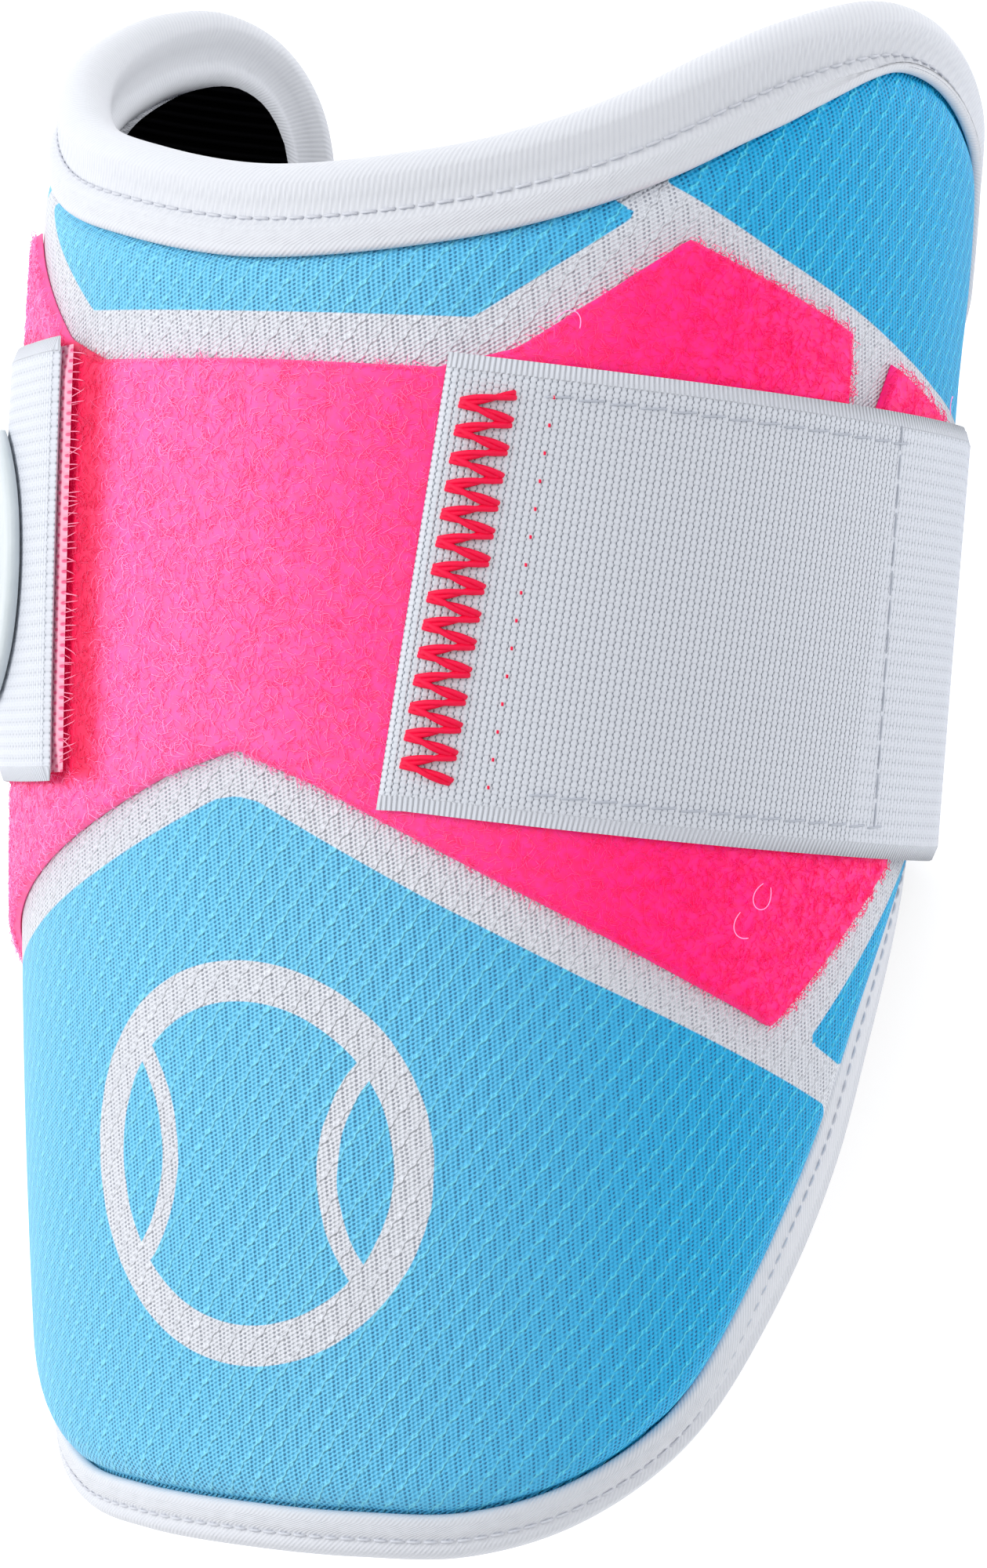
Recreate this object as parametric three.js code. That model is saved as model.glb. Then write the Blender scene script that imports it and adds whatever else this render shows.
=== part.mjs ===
// Batter's elbow guard: a padded shell that bends round the arm, with an elastic strap.
// It lies on its back, as it rests on a table by itself.
// X goes across the arm, Y runs along the arm towards the shoulder, Z points up out of the shell's front.
// All lengths are in millimetres and all turns are in degrees round the arm, with 0 at the front.

import * as THREE from 'three';

// Shell skin
const SKIN_HALF_WIDTH = 53.5;
const SKIN_FRONT_RISE = 53.8;
const SKIN_DROP = 5.6;
const STATION_REACH = 84;
const WRAP = 118.5;
const GUARD_LENGTH = 173.4;
const TONGUE_LENGTH = 70.7;
const PAD_THICKNESS = 7;
const SHOULDER_RUN = 4.5;

// Edge trims
const CLOTH = 1.2;
const CLEARANCE = 0.3;
const RIM_HEM = 6.6;
const RIM_INNER_HEM = 6;
const RIM_BULGE = 3.9;
const RIM_GROOVE = 0.8;
const BINDING_LIP = 3.6;
const BINDING_BULGE = 1.8;
const BINDING_SINK = 1.9;
const BINDING_GROOVE = 0.35;
const ROLL_START = 62;
const ROLL_BLEND = 12;

// Lining and loop panels
const LINING_THICKNESS = 1.2;
const LINING_INSET = 6.4;
const PANEL_THICKNESS = 1.2;
const PANEL_ROUNDING = 0.8;

// Strap
const STRAP_WIDTH = 50.8;
const STRAP_THICKNESS = 1.2;
const STRAP_ALONG = 37.4;
const STRAP_FALL = 6.5;
const STRAP_LEVEL_FROM = 150;
const STRAP_RIGHT_END = 21.5;
const STRAP_RIGHT_SLANT = 3.2;
const STRAP_LEFT_END = 28;
const STRAP_REST = 36;
const STRAP_CORNER = 12;
const PAD_TAPE_THICKNESS = 1;
const PAD_TAPE_WIDTH = 40;
const PAD_TAPE_RIGHT_FROM = 34;
const PAD_TAPE_LEFT_FROM = 29;
const PAD_TAPE_TURN = 48;

// Badge on the strap's left end
const BADGE_LENGTH = 32;
const BADGE_WIDTH = 27;
const BADGE_THICKNESS = 1.4;
const BADGE_TURN = 53;

// Colours of the pieces
const MESH_BLUE = 0x35a8ec;
const PILE_PINK = 0xff2f95;
const TRIM_WHITE = 0xf0f2f8;
const STRAP_WHITE = 0xdfe4ea;
const LINING_BLACK = 0x0c0c0f;
const BADGE_GREY = 0xc2cbd0;

// Fineness of the facets
const EDGE_STEPS = 84;
const STRAP_STEPS = 60;
const TAPE_STEPS = 12;
const BADGE_STEPS = 28;
const PANEL_STEP = 6;
const STRIP_REACH = 0.8;
const STRIP_HEIGHT = 0.1;
const FACE_SHARES = [0, 0.35, 0.7, 1];
const HEADING_TURN = 0.5;

const FULL_TURN = 360;

const EDGE_PLACES = Array.from({ length: EDGE_STEPS }, (_, index) => index / EDGE_STEPS);
const ARC_PER_DEGREE = THREE.MathUtils.degToRad(SKIN_HALF_WIDTH);

// Shares of the skin's half width, front rise and drop at three stations along the arm,
// whose places are shares of the stations' reach.
const SKIN_STATIONS = [
  { place: -1, width: 0.897, rise: 1.042, drop: -1 },
  { place: 0, width: 1, rise: 1, drop: 0 },
  { place: 1, width: 1.012, rise: 1.119, drop: -0.895 },
];

// The shell's edge on its right side, from the tip of the tongue to the middle of the rim.
// Turns are shares of the wrap, heights are shares of the guard's length from the tongue's tip.
const RIGHT_EDGE = [
  { turn: 0, height: 0 },
  { turn: 0.15, height: 0 },
  { turn: 0.28, height: 0.003 },
  { turn: 0.407, height: 0.025 },
  { turn: 0.532, height: 0.073 },
  { turn: 0.64, height: 0.153 },
  { turn: 0.741, height: 0.246 },
  { turn: 0.812, height: 0.331 },
  { turn: 0.879, height: 0.392 },
  { turn: 0.955, height: 0.452 },
  { turn: 0.988, height: 0.53 },
  { turn: 1, height: 0.66 },
  { turn: 1, height: 0.78 },
  { turn: 0.988, height: 0.882 },
  { turn: 0.95, height: 0.932 },
  { turn: 0.876, height: 0.962 },
  { turn: 0.772, height: 0.988 },
  { turn: 0.684, height: 0.993 },
  { turn: 0.565, height: 0.973 },
  { turn: 0.481, height: 0.949 },
  { turn: 0.397, height: 0.921 },
  { turn: 0.312, height: 0.898 },
  { turn: 0.194, height: 0.877 },
  { turn: 0, height: 0.864 },
];

// The same edge on the left side, from the middle of the rim back to the tongue.
const LEFT_EDGE = [
  { turn: -0.194, height: 0.88 },
  { turn: -0.312, height: 0.896 },
  { turn: -0.422, height: 0.922 },
  { turn: -0.523, height: 0.949 },
  { turn: -0.633, height: 0.974 },
  { turn: -0.73, height: 0.993 },
  { turn: -0.823, height: 1 },
  { turn: -0.9, height: 0.985 },
  { turn: -0.955, height: 0.95 },
  { turn: -0.99, height: 0.885 },
  { turn: -1, height: 0.78 },
  { turn: -1, height: 0.66 },
  { turn: -0.988, height: 0.53 },
  { turn: -0.955, height: 0.452 },
  { turn: -0.879, height: 0.392 },
  { turn: -0.812, height: 0.331 },
  { turn: -0.741, height: 0.246 },
  { turn: -0.64, height: 0.153 },
  { turn: -0.532, height: 0.073 },
  { turn: -0.407, height: 0.025 },
  { turn: -0.28, height: 0.003 },
  { turn: -0.15, height: 0 },
];

// Right half of the front loop panel, from the middle of its top round to the middle of its foot.
const FRONT_PANEL = [
  { turn: 0, height: 0.761 },
  { turn: 0.198, height: 0.759 },
  { turn: 0.273, height: 0.773 },
  { turn: 0.438, height: 0.847 },
  { turn: 0.636, height: 0.795 },
  { turn: 0.637, height: 0.73 },
  { turn: 0.762, height: 0.445 },
  { turn: 0.585, height: 0.341 },
  { turn: 0.475, height: 0.373 },
  { turn: 0.231, height: 0.447 },
  { turn: 0.087, height: 0.49 },
  { turn: 0, height: 0.51 },
];

// The small loop panel on the wing, on the right side.
const WING_PANEL = [
  { turn: 0.706, height: 0.776 },
  { turn: 0.823, height: 0.744 },
  { turn: 0.844, height: 0.662 },
  { turn: 0.84, height: 0.57 },
  { turn: 0.781, height: 0.563 },
  { turn: 0.673, height: 0.731 },
];

// How far the strap's inner face stands off the skin, as shares of the stack of pads below it.
const STRAP_STANDOFF = [
  { turn: 0, share: 1 },
  { turn: 84, share: 1 },
  { turn: 101, share: 0.62 },
  { turn: 110, share: 0.12 },
  { turn: 180, share: 0.12 },
];

// Shares of the shoulder's run and of the flange's depth, from the flange up to the skin.
const SHOULDER_ROWS = [
  { run: 0.4, depth: 0.12 },
  { run: 0.08, depth: 0.5 },
];

// The badge from its foot over its raised rim to its sunk face: shares of its oval and of its thickness.
const BADGE_ROWS = [
  { oval: 0.3, rise: 0 },
  { oval: 1, rise: 0 },
  { oval: 1, rise: 0.5 },
  { oval: 0.94, rise: 1 },
  { oval: 0.84, rise: 1 },
  { oval: 0.8, rise: 0.5 },
  { oval: 0.3, rise: 0.5 },
];

const STRAP_STACK = 3 * CLEARANCE + PANEL_THICKNESS + PAD_TAPE_THICKNESS;

// Quadratic curve through the three stations' shares.
function stationShare(column, along) {
  const place = along / STATION_REACH;
  const [low, middle, high] = SKIN_STATIONS.map((station) => station[column]);
  const slope = (high - low) / 2;
  const bend = (high + low) / 2 - middle;
  return middle + slope * place + bend * place * place;
}

// A point on the shell's skin, or the given lift outside of it.
function skinPoint(turn, along, lift) {
  const angle = THREE.MathUtils.degToRad(turn);
  const halfWidth = SKIN_HALF_WIDTH * stationShare('width', along) + lift;
  const rise = SKIN_FRONT_RISE * stationShare('rise', along) + lift;
  const drop = SKIN_DROP * stationShare('drop', along);
  return new THREE.Vector3(halfWidth * Math.sin(angle), along, drop + rise * Math.cos(angle));
}

function smoothStep(share) {
  return THREE.MathUtils.smoothstep(share, 0, 1);
}

// A flat pattern point: x is the arc round the arm, y the place along it.
function flatPoint(row) {
  const arc = row.turn * WRAP * ARC_PER_DEGREE;
  return new THREE.Vector3(arc, row.height * GUARD_LENGTH - TONGUE_LENGTH, 0);
}

function onSkin(flat, lift) {
  return skinPoint(flat.x / ARC_PER_DEGREE, flat.y, lift);
}

const edgeCurve = new THREE.CatmullRomCurve3([...RIGHT_EDGE, ...LEFT_EDGE].map(flatPoint), true);

function wrapShare(share) {
  return THREE.MathUtils.euclideanModulo(share, 1);
}

// A place on the shell's edge moved outward in the flat pattern by a distance.
function edgePoint(share, outward) {
  const point = edgeCurve.getPointAt(wrapShare(share));
  const tangent = edgeCurve.getTangentAt(wrapShare(share));
  return new THREE.Vector3(point.x + tangent.y * outward, point.y - tangent.x * outward, 0);
}

// 1 where the thick roll trims the edge and 0 where the thin binding does.
function rollShare(share) {
  const along = edgeCurve.getPointAt(wrapShare(share)).y;
  return smoothStep((along - ROLL_START) / ROLL_BLEND);
}

function mix(low, high, share) {
  return THREE.MathUtils.lerp(low, high, share);
}

// Closed body from rings of points, its two ends closed by the same cap triangles.
function bodyFromRings(rings, capTriangles) {
  const count = rings[0].length;
  const triangles = [];
  for (let row = 0; row + 1 < rings.length; row += 1) {
    for (let column = 0; column < count; column += 1) {
      const next = (column + 1) % count;
      const a = row * count + column;
      const b = row * count + next;
      const c = a + count;
      const d = b + count;
      triangles.push([a, b, d], [a, d, c]);
    }
  }
  const last = (rings.length - 1) * count;
  for (const [a, b, c] of capTriangles) {
    triangles.push([a, c, b], [last + a, last + b, last + c]);
  }
  return geometryFrom(rings.flat(), triangles);
}

function centreOf(ring) {
  const centre = new THREE.Vector3();
  for (const point of ring) {
    centre.add(point);
  }
  return centre.divideScalar(ring.length);
}

// Geometry with its faces turned outward, whichever way its rings ran.
function geometryFrom(points, triangles) {
  let volume = 0;
  for (const [a, b, c] of triangles) {
    volume += points[a].dot(new THREE.Vector3().crossVectors(points[b], points[c]));
  }
  const faces = volume > 0 ? triangles : triangles.map(([a, b, c]) => [a, c, b]);
  const geometry = new THREE.BufferGeometry().setFromPoints(points);
  geometry.setIndex(faces.flat());
  geometry.computeVertexNormals();
  return geometry;
}

// Triangles that fill a section, wound the way its points run.
function triangulate(section) {
  const contour = section.map(([x, y]) => new THREE.Vector2(x, y));
  const triangles = THREE.ShapeUtils.triangulateShape(contour, []);
  if (THREE.ShapeUtils.isClockWise(contour)) {
    return triangles.map(([a, b, c]) => [a, c, b]);
  }
  return triangles;
}

// Cap triangles of a loop whose upper and lower sides both run straight from its left to its right.
// They zigzag between the two sides, so that none spans a long arc.
function zigzagTriangles(loop) {
  const count = loop.length;
  const start = loop.reduce((best, flat, index) => (flat.x > loop[best].x ? index : best), 0);
  const triangles = [];
  let ahead = (start + 1) % count;
  let behind = (start + count - 1) % count;
  triangles.push([behind, start, ahead]);
  for (let step = 0; step < count - 3; step += 1) {
    const nextAhead = (ahead + 1) % count;
    const nextBehind = (behind + count - 1) % count;
    if (loop[nextAhead].x > loop[nextBehind].x) {
      triangles.push([behind, ahead, nextAhead]);
      ahead = nextAhead;
    } else {
      triangles.push([behind, ahead, nextBehind]);
      behind = nextBehind;
    }
  }
  return triangles;
}

// Rings on one face of a sheet: share 1 is its loop, and share 0 a narrow strip along its middle.
function faceRings(loop, shares, lift) {
  const centre = centreOf(loop);
  return shares.map((share) => loop.map((flat) => {
    const moved = flat.clone().sub(centre);
    moved.x *= mix(STRIP_REACH, 1, share);
    moved.y *= mix(STRIP_HEIGHT, 1, share);
    return onSkin(moved.add(centre), lift);
  }));
}

// The padded shell: full thickness inside, a thin flange under the trims.
function shellGeometry() {
  const flangeInner = PAD_THICKNESS - CLOTH - CLEARANCE;
  const loop = (inset) => EDGE_PLACES.map((place) => edgePoint(place, -inset(rollShare(place))));
  const ring = (inset, lift) => loop(inset).map((flat, index) => (
    onSkin(flat, lift(rollShare(EDGE_PLACES[index])))
  ));
  const lip = (roll) => mix(BINDING_LIP, RIM_HEM, roll) + CLEARANCE;
  const innerLip = (roll) => mix(BINDING_LIP, RIM_INNER_HEM, roll) + CLEARANCE;
  const flangeOuter = (roll) => mix(BINDING_SINK, 0, roll) + CLOTH + CLEARANCE;
  const shoulderFoot = loop((roll) => lip(roll) + SHOULDER_RUN);
  const innerFoot = loop((roll) => innerLip(roll) + CLEARANCE);
  const rings = [
    ...faceRings(shoulderFoot, FACE_SHARES, 0),
    ...SHOULDER_ROWS.map((row) => (
      ring((roll) => lip(roll) + row.run * SHOULDER_RUN, (roll) => -row.depth * flangeOuter(roll))
    )),
    ring(lip, (roll) => -flangeOuter(roll)),
    ring(() => 0, (roll) => -flangeOuter(roll)),
    ring(() => 0, () => -flangeInner),
    ring(innerLip, () => -flangeInner),
    ...faceRings(innerFoot, FACE_SHARES.toReversed(), -PAD_THICKNESS),
  ];
  return bodyFromRings(rings, zigzagTriangles(shoulderFoot));
}

// The lining on the shell's inner face, set in from the trims.
function liningGeometry() {
  const loop = EDGE_PLACES.map((place) => edgePoint(place, -LINING_INSET));
  const outer = -PAD_THICKNESS - CLEARANCE;
  const inner = outer - LINING_THICKNESS;
  const rings = [
    ...faceRings(loop, FACE_SHARES, outer),
    ...faceRings(loop, FACE_SHARES.toReversed(), inner),
  ];
  return bodyFromRings(rings, zigzagTriangles(loop));
}

// A closed loop of points with corners kept, from the rows of an outline.
function cornerLoop(rows, step) {
  const corners = rows.map(flatPoint);
  const loop = [];
  corners.forEach((corner, index) => {
    const next = corners[(index + 1) % corners.length];
    const pieces = Math.max(1, Math.round(corner.distanceTo(next) / step));
    for (let piece = 0; piece < pieces; piece += 1) {
      loop.push(new THREE.Vector3().lerpVectors(corner, next, piece / pieces));
    }
  });
  return loop;
}

function mirrored(rows) {
  return rows.map((row) => ({ turn: -row.turn, height: row.height })).toReversed();
}

// A loop panel lying on the skin, its outer edge rounded.
function panelGeometry(rows) {
  const loop = cornerLoop(rows, PANEL_STEP);
  const centre = centreOf(loop);
  const reach = Math.max(...loop.map((flat) => flat.distanceTo(centre)));
  const rounding = 1 - PANEL_ROUNDING / reach;
  const top = CLEARANCE + PANEL_THICKNESS;
  const rings = [
    ...faceRings(loop, [0, 0.5, rounding], top),
    ...faceRings(loop, [1], top - PANEL_ROUNDING / 2),
    ...faceRings(loop, [1, 0.75, 0.5, 0.25, 0], CLEARANCE),
  ];
  return bodyFromRings(rings, zigzagTriangles(loop));
}

// Section of the trims as outward distance and lift off the skin.
// The cloth goes from the outer hem, over the rounded edge, to the inner hem.
// It holds the flange in its slot.
function trimSection(roll) {
  const outerHem = mix(BINDING_LIP, RIM_HEM, roll);
  const innerHem = mix(BINDING_LIP, RIM_INNER_HEM, roll);
  const bulge = mix(BINDING_BULGE, RIM_BULGE, roll);
  const groove = mix(BINDING_GROOVE, RIM_GROOVE, roll);
  const top = -mix(BINDING_SINK, 0, roll);
  const foot = -PAD_THICKNESS;
  const waist = mix(-0.3, -0.6, roll) * bulge;
  const middle = (top + foot) / 2;
  const halfThickness = (top - foot) / 2;
  const points = [
    [-outerHem, top - CLOTH / 3],
    [-outerHem + CLOTH / 3, top],
    [waist - bulge / 4, top],
    [waist, top - groove],
  ];
  for (let turn = -75; turn <= 75; turn += 25) {
    const angle = THREE.MathUtils.degToRad(turn);
    points.push([bulge * Math.cos(angle), middle - halfThickness * Math.sin(angle)]);
  }
  points.push([waist, foot + groove]);
  points.push([waist - bulge / 4, foot]);
  points.push([-innerHem, foot]);
  points.push([-innerHem, foot + CLOTH]);
  points.push([CLEARANCE, foot + CLOTH]);
  points.push([CLEARANCE, top - CLOTH]);
  points.push([-outerHem, top - CLOTH]);
  return points;
}

// Trim swept along the shell's edge between two shares of its length, through the shell's own places.
function trimGeometry(from, to) {
  const places = [...EDGE_PLACES.map((place) => place - 1), ...EDGE_PLACES];
  const between = places.filter((place) => place > from && place < to);
  const rings = [from, ...between, to].map((share) => (
    trimSection(rollShare(share)).map(([outward, lift]) => onSkin(edgePoint(share, outward), lift))
  ));
  return bodyFromRings(rings, triangulate(trimSection(rollShare(from))));
}

// The share of the edge between two given ones where it passes a place along the arm.
function edgeShareAt(along, low, high) {
  const rising = edgeCurve.getPointAt(high).y > edgeCurve.getPointAt(low).y;
  for (let round = 0; round < 40; round += 1) {
    const middle = (low + high) / 2;
    const below = edgeCurve.getPointAt(middle).y < along;
    if (below === rising) {
      low = middle;
    } else {
      high = middle;
    }
  }
  return (low + high) / 2;
}

// The turn from the front on whichever side of the arm it is.
function foldedTurn(turn) {
  return Math.min(turn, FULL_TURN - turn);
}

function standoff(turn) {
  const folded = foldedTurn(turn);
  const next = STRAP_STANDOFF.findIndex((row) => row.turn >= Math.max(folded, 0.001));
  const low = STRAP_STANDOFF[next - 1];
  const high = STRAP_STANDOFF[next];
  const share = smoothStep((folded - low.turn) / (high.turn - low.turn));
  return STRAP_STACK * mix(low.share, high.share, share);
}

// The strap's inner face: it lies on the skin, then turns flat across the back.
function strapPath(turn, along) {
  const point = skinPoint(turn, along, standoff(turn));
  const back = STRAP_REST - STRAP_THICKNESS;
  if (point.z < 0) {
    const reach = (-point.z / (back + CLEARANCE)) ** STRAP_CORNER;
    const shrink = (1 + reach) ** (-1 / STRAP_CORNER);
    point.x *= shrink;
    point.z = Math.max(point.z * shrink, -back);
  }
  return point;
}

// A point in the strap's layers: across is -1 to 1 over its width, height is above its inner face.
function strapPoint(turn, across, height) {
  const folded = foldedTurn(turn);
  const way = THREE.MathUtils.clamp((folded - STRAP_RIGHT_END) / (STRAP_LEVEL_FROM - STRAP_RIGHT_END), 0, 1);
  const middle = STRAP_ALONG - STRAP_FALL * Math.sin(way * Math.PI / 2);
  const along = middle + across * STRAP_WIDTH / 2;
  const point = strapPath(turn, along);
  const ahead = strapPath(turn + HEADING_TURN, along);
  const behind = strapPath(turn - HEADING_TURN, along);
  const tangent = ahead.sub(behind).normalize();
  return point.add(new THREE.Vector3(-tangent.z, 0, tangent.x).multiplyScalar(height));
}

// A band in the strap's layers between two turns, with a cut that may slant at its first end.
function bandGeometry(from, to, slant, halfShare, low, high, steps) {
  const columns = [-1, -0.5, 0, 0.5, 1].map((across) => across * halfShare);
  const rings = [];
  for (let step = 0; step <= steps; step += 1) {
    const turnAt = (across) => mix(from + slant * across, to, step / steps);
    const upper = columns.map((across) => strapPoint(turnAt(across), across, high));
    const lower = columns.toReversed().map((across) => strapPoint(turnAt(across), across, low));
    rings.push([...upper, ...lower]);
  }
  const section = [...columns.map((x) => [x, 1]), ...columns.toReversed().map((x) => [x, 0])];
  return bodyFromRings(rings, triangulate(section));
}

// An oval badge standing on the strap's outer face.
function badgeGeometry() {
  const turnPerMm = 1 / ARC_PER_DEGREE;
  const foot = STRAP_THICKNESS + CLEARANCE;
  const rings = BADGE_ROWS.map(({ oval, rise }) => Array.from({ length: BADGE_STEPS }, (_, index) => {
    const angle = 2 * Math.PI * index / BADGE_STEPS;
    const turn = FULL_TURN - BADGE_TURN + oval * BADGE_WIDTH / 2 * Math.cos(angle) * turnPerMm;
    const across = oval * BADGE_LENGTH / STRAP_WIDTH * Math.sin(angle);
    return strapPoint(turn, across, foot + rise * BADGE_THICKNESS);
  }));
  const cap = Array.from({ length: BADGE_STEPS - 2 }, (_, index) => [0, index + 1, index + 2]);
  return bodyFromRings(rings, cap);
}

function addPiece(guard, name, geometry, color, roughness) {
  const material = new THREE.MeshStandardMaterial({ color, roughness, metalness: 0 });
  const mesh = new THREE.Mesh(geometry, material);
  mesh.name = name;
  guard.add(mesh);
}

// Shares of the edge curve at the four ends of the roll and the binding.
const rightRoll = edgeShareAt(ROLL_START + CLEARANCE / 2, 0.02, 0.33);
const leftRoll = edgeShareAt(ROLL_START + CLEARANCE / 2, 0.67, 0.98);
const rightBinding = edgeShareAt(ROLL_START - CLEARANCE / 2, 0.02, 0.33);
const leftBinding = edgeShareAt(ROLL_START - CLEARANCE / 2, 0.67, 0.98);

const guard = new THREE.Group();
addPiece(guard, 'padded_shell', shellGeometry(), MESH_BLUE, 0.75);
addPiece(guard, 'lining', liningGeometry(), LINING_BLACK, 0.9);
addPiece(guard, 'rim_roll', trimGeometry(rightRoll, leftRoll), TRIM_WHITE, 0.6);
addPiece(guard, 'edge_binding', trimGeometry(leftBinding - 1, rightBinding), TRIM_WHITE, 0.6);

const frontRows = [...FRONT_PANEL, ...mirrored(FRONT_PANEL).slice(1, -1)];
addPiece(guard, 'loop_panel_front', panelGeometry(frontRows), PILE_PINK, 0.95);
addPiece(guard, 'loop_panel_right', panelGeometry(WING_PANEL), PILE_PINK, 0.95);
addPiece(guard, 'loop_panel_left', panelGeometry(mirrored(WING_PANEL)), PILE_PINK, 0.95);

const strapEnd = FULL_TURN - STRAP_LEFT_END;
const strap = bandGeometry(STRAP_RIGHT_END, strapEnd, STRAP_RIGHT_SLANT, 1, 0, STRAP_THICKNESS, STRAP_STEPS);
addPiece(guard, 'strap', strap, STRAP_WHITE, 0.85);

const tapeHalf = PAD_TAPE_WIDTH / STRAP_WIDTH;
const tapeTop = -CLEARANCE;
const tapeFoot = tapeTop - PAD_TAPE_THICKNESS;
const rightTapeTo = PAD_TAPE_RIGHT_FROM + PAD_TAPE_TURN;
const rightTape = bandGeometry(PAD_TAPE_RIGHT_FROM, rightTapeTo, 0, tapeHalf, tapeFoot, tapeTop, TAPE_STEPS);
addPiece(guard, 'hook_tape_right', rightTape, PILE_PINK, 0.8);
const leftTapeTo = FULL_TURN - PAD_TAPE_LEFT_FROM;
const leftTapeFrom = leftTapeTo - PAD_TAPE_TURN;
const leftTape = bandGeometry(leftTapeFrom, leftTapeTo, 0, tapeHalf, tapeFoot, tapeTop, TAPE_STEPS);
addPiece(guard, 'hook_tape_left', leftTape, PILE_PINK, 0.8);
addPiece(guard, 'strap_badge', badgeGeometry(), BADGE_GREY, 0.4);

// The frame's origin is under the middle of the guard, on the surface that it rests on.
const box = new THREE.Box3().setFromObject(guard);
const middle = box.getCenter(new THREE.Vector3());
guard.position.set(-middle.x, -middle.y, -box.min.z);

export default guard;
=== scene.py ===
# Batter's elbow guard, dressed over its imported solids.
# Lengths are in metres. Turns are in degrees round the arm, with 0 at the front of the guard.
# X goes across the arm, Y runs along it towards the shoulder, and Z points up out of the shell's front.

import bpy
import numpy as np
from mathutils import Matrix, Vector
from mathutils.geometry import tessellate_polygon


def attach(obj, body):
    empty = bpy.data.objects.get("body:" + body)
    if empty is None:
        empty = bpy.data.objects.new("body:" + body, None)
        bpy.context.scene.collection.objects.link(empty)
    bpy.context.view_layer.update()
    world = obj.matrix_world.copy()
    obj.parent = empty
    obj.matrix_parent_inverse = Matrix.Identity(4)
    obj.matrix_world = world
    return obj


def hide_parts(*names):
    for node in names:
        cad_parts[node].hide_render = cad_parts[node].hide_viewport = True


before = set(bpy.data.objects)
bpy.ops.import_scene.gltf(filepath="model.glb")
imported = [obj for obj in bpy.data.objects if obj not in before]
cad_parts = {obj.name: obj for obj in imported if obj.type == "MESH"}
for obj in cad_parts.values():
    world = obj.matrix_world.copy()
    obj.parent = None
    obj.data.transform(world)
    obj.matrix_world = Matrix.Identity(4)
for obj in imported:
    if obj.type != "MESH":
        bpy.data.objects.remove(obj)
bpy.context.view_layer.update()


# Camera
# The guard stands upright in the photograph and lies on its back here, so the camera looks down on it,
# with the arm's axis running up the picture.
ARM_AXIS = np.array([0.000021, -0.016996, 0.036])
VIEW_TURN = np.radians(29.13)
VIEW_PITCH = np.radians(2.49)
VIEW_ROLL = np.radians(2.17)
VIEW_DISTANCE = 0.69825
VIEW_ASIDE = -0.00218
VIEW_ABOVE = -0.01294
SENSOR_HEIGHT = 36
LENS = 134.06

level = np.array([np.cos(VIEW_TURN), 0, -np.sin(VIEW_TURN)])
upward = np.array([
    -np.sin(VIEW_TURN) * np.sin(VIEW_PITCH), np.cos(VIEW_PITCH), -np.cos(VIEW_TURN) * np.sin(VIEW_PITCH),
])
toward = np.cross(level, upward)
camera_place = ARM_AXIS + toward * VIEW_DISTANCE - level * VIEW_ASIDE - upward * VIEW_ABOVE
picture_right = level * np.cos(VIEW_ROLL) + upward * np.sin(VIEW_ROLL)
picture_up = upward * np.cos(VIEW_ROLL) - level * np.sin(VIEW_ROLL)

lens = bpy.data.cameras.new("camera")
lens.sensor_fit = "VERTICAL"
lens.sensor_height = SENSOR_HEIGHT
lens.lens = LENS
camera = bpy.data.objects.new("camera", lens)
turned = Matrix(np.column_stack([picture_right, picture_up, toward]).tolist())
camera.matrix_world = Matrix.Translation(Vector(camera_place)) @ turned.to_4x4()
bpy.context.collection.objects.link(camera)
bpy.context.scene.camera = camera


# Floor and studio light
# A pale table that glows a little itself, a sky that is brighter on the left, one large soft light there
# that brings up a haze on the yarns, which a painted haze in the mesh and pile colours strengthens, and a
# weaker one near the camera.
FLOOR_HALF = 15
FLOOR_COLOUR = (0.80, 0.80, 0.81, 1)
FLOOR_GLOW = 0.6
SKY_RIGHT = 0.33
SKY_LEFT = 0.9
KEY_LIGHT = {"aside": -1.3, "above": 0.4, "near": 0.7, "size": 0.9, "watts": 12}
FILL_LIGHT = {"aside": 0.4, "above": 0.5, "near": 1.3, "size": 0.9, "watts": 4}


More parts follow.
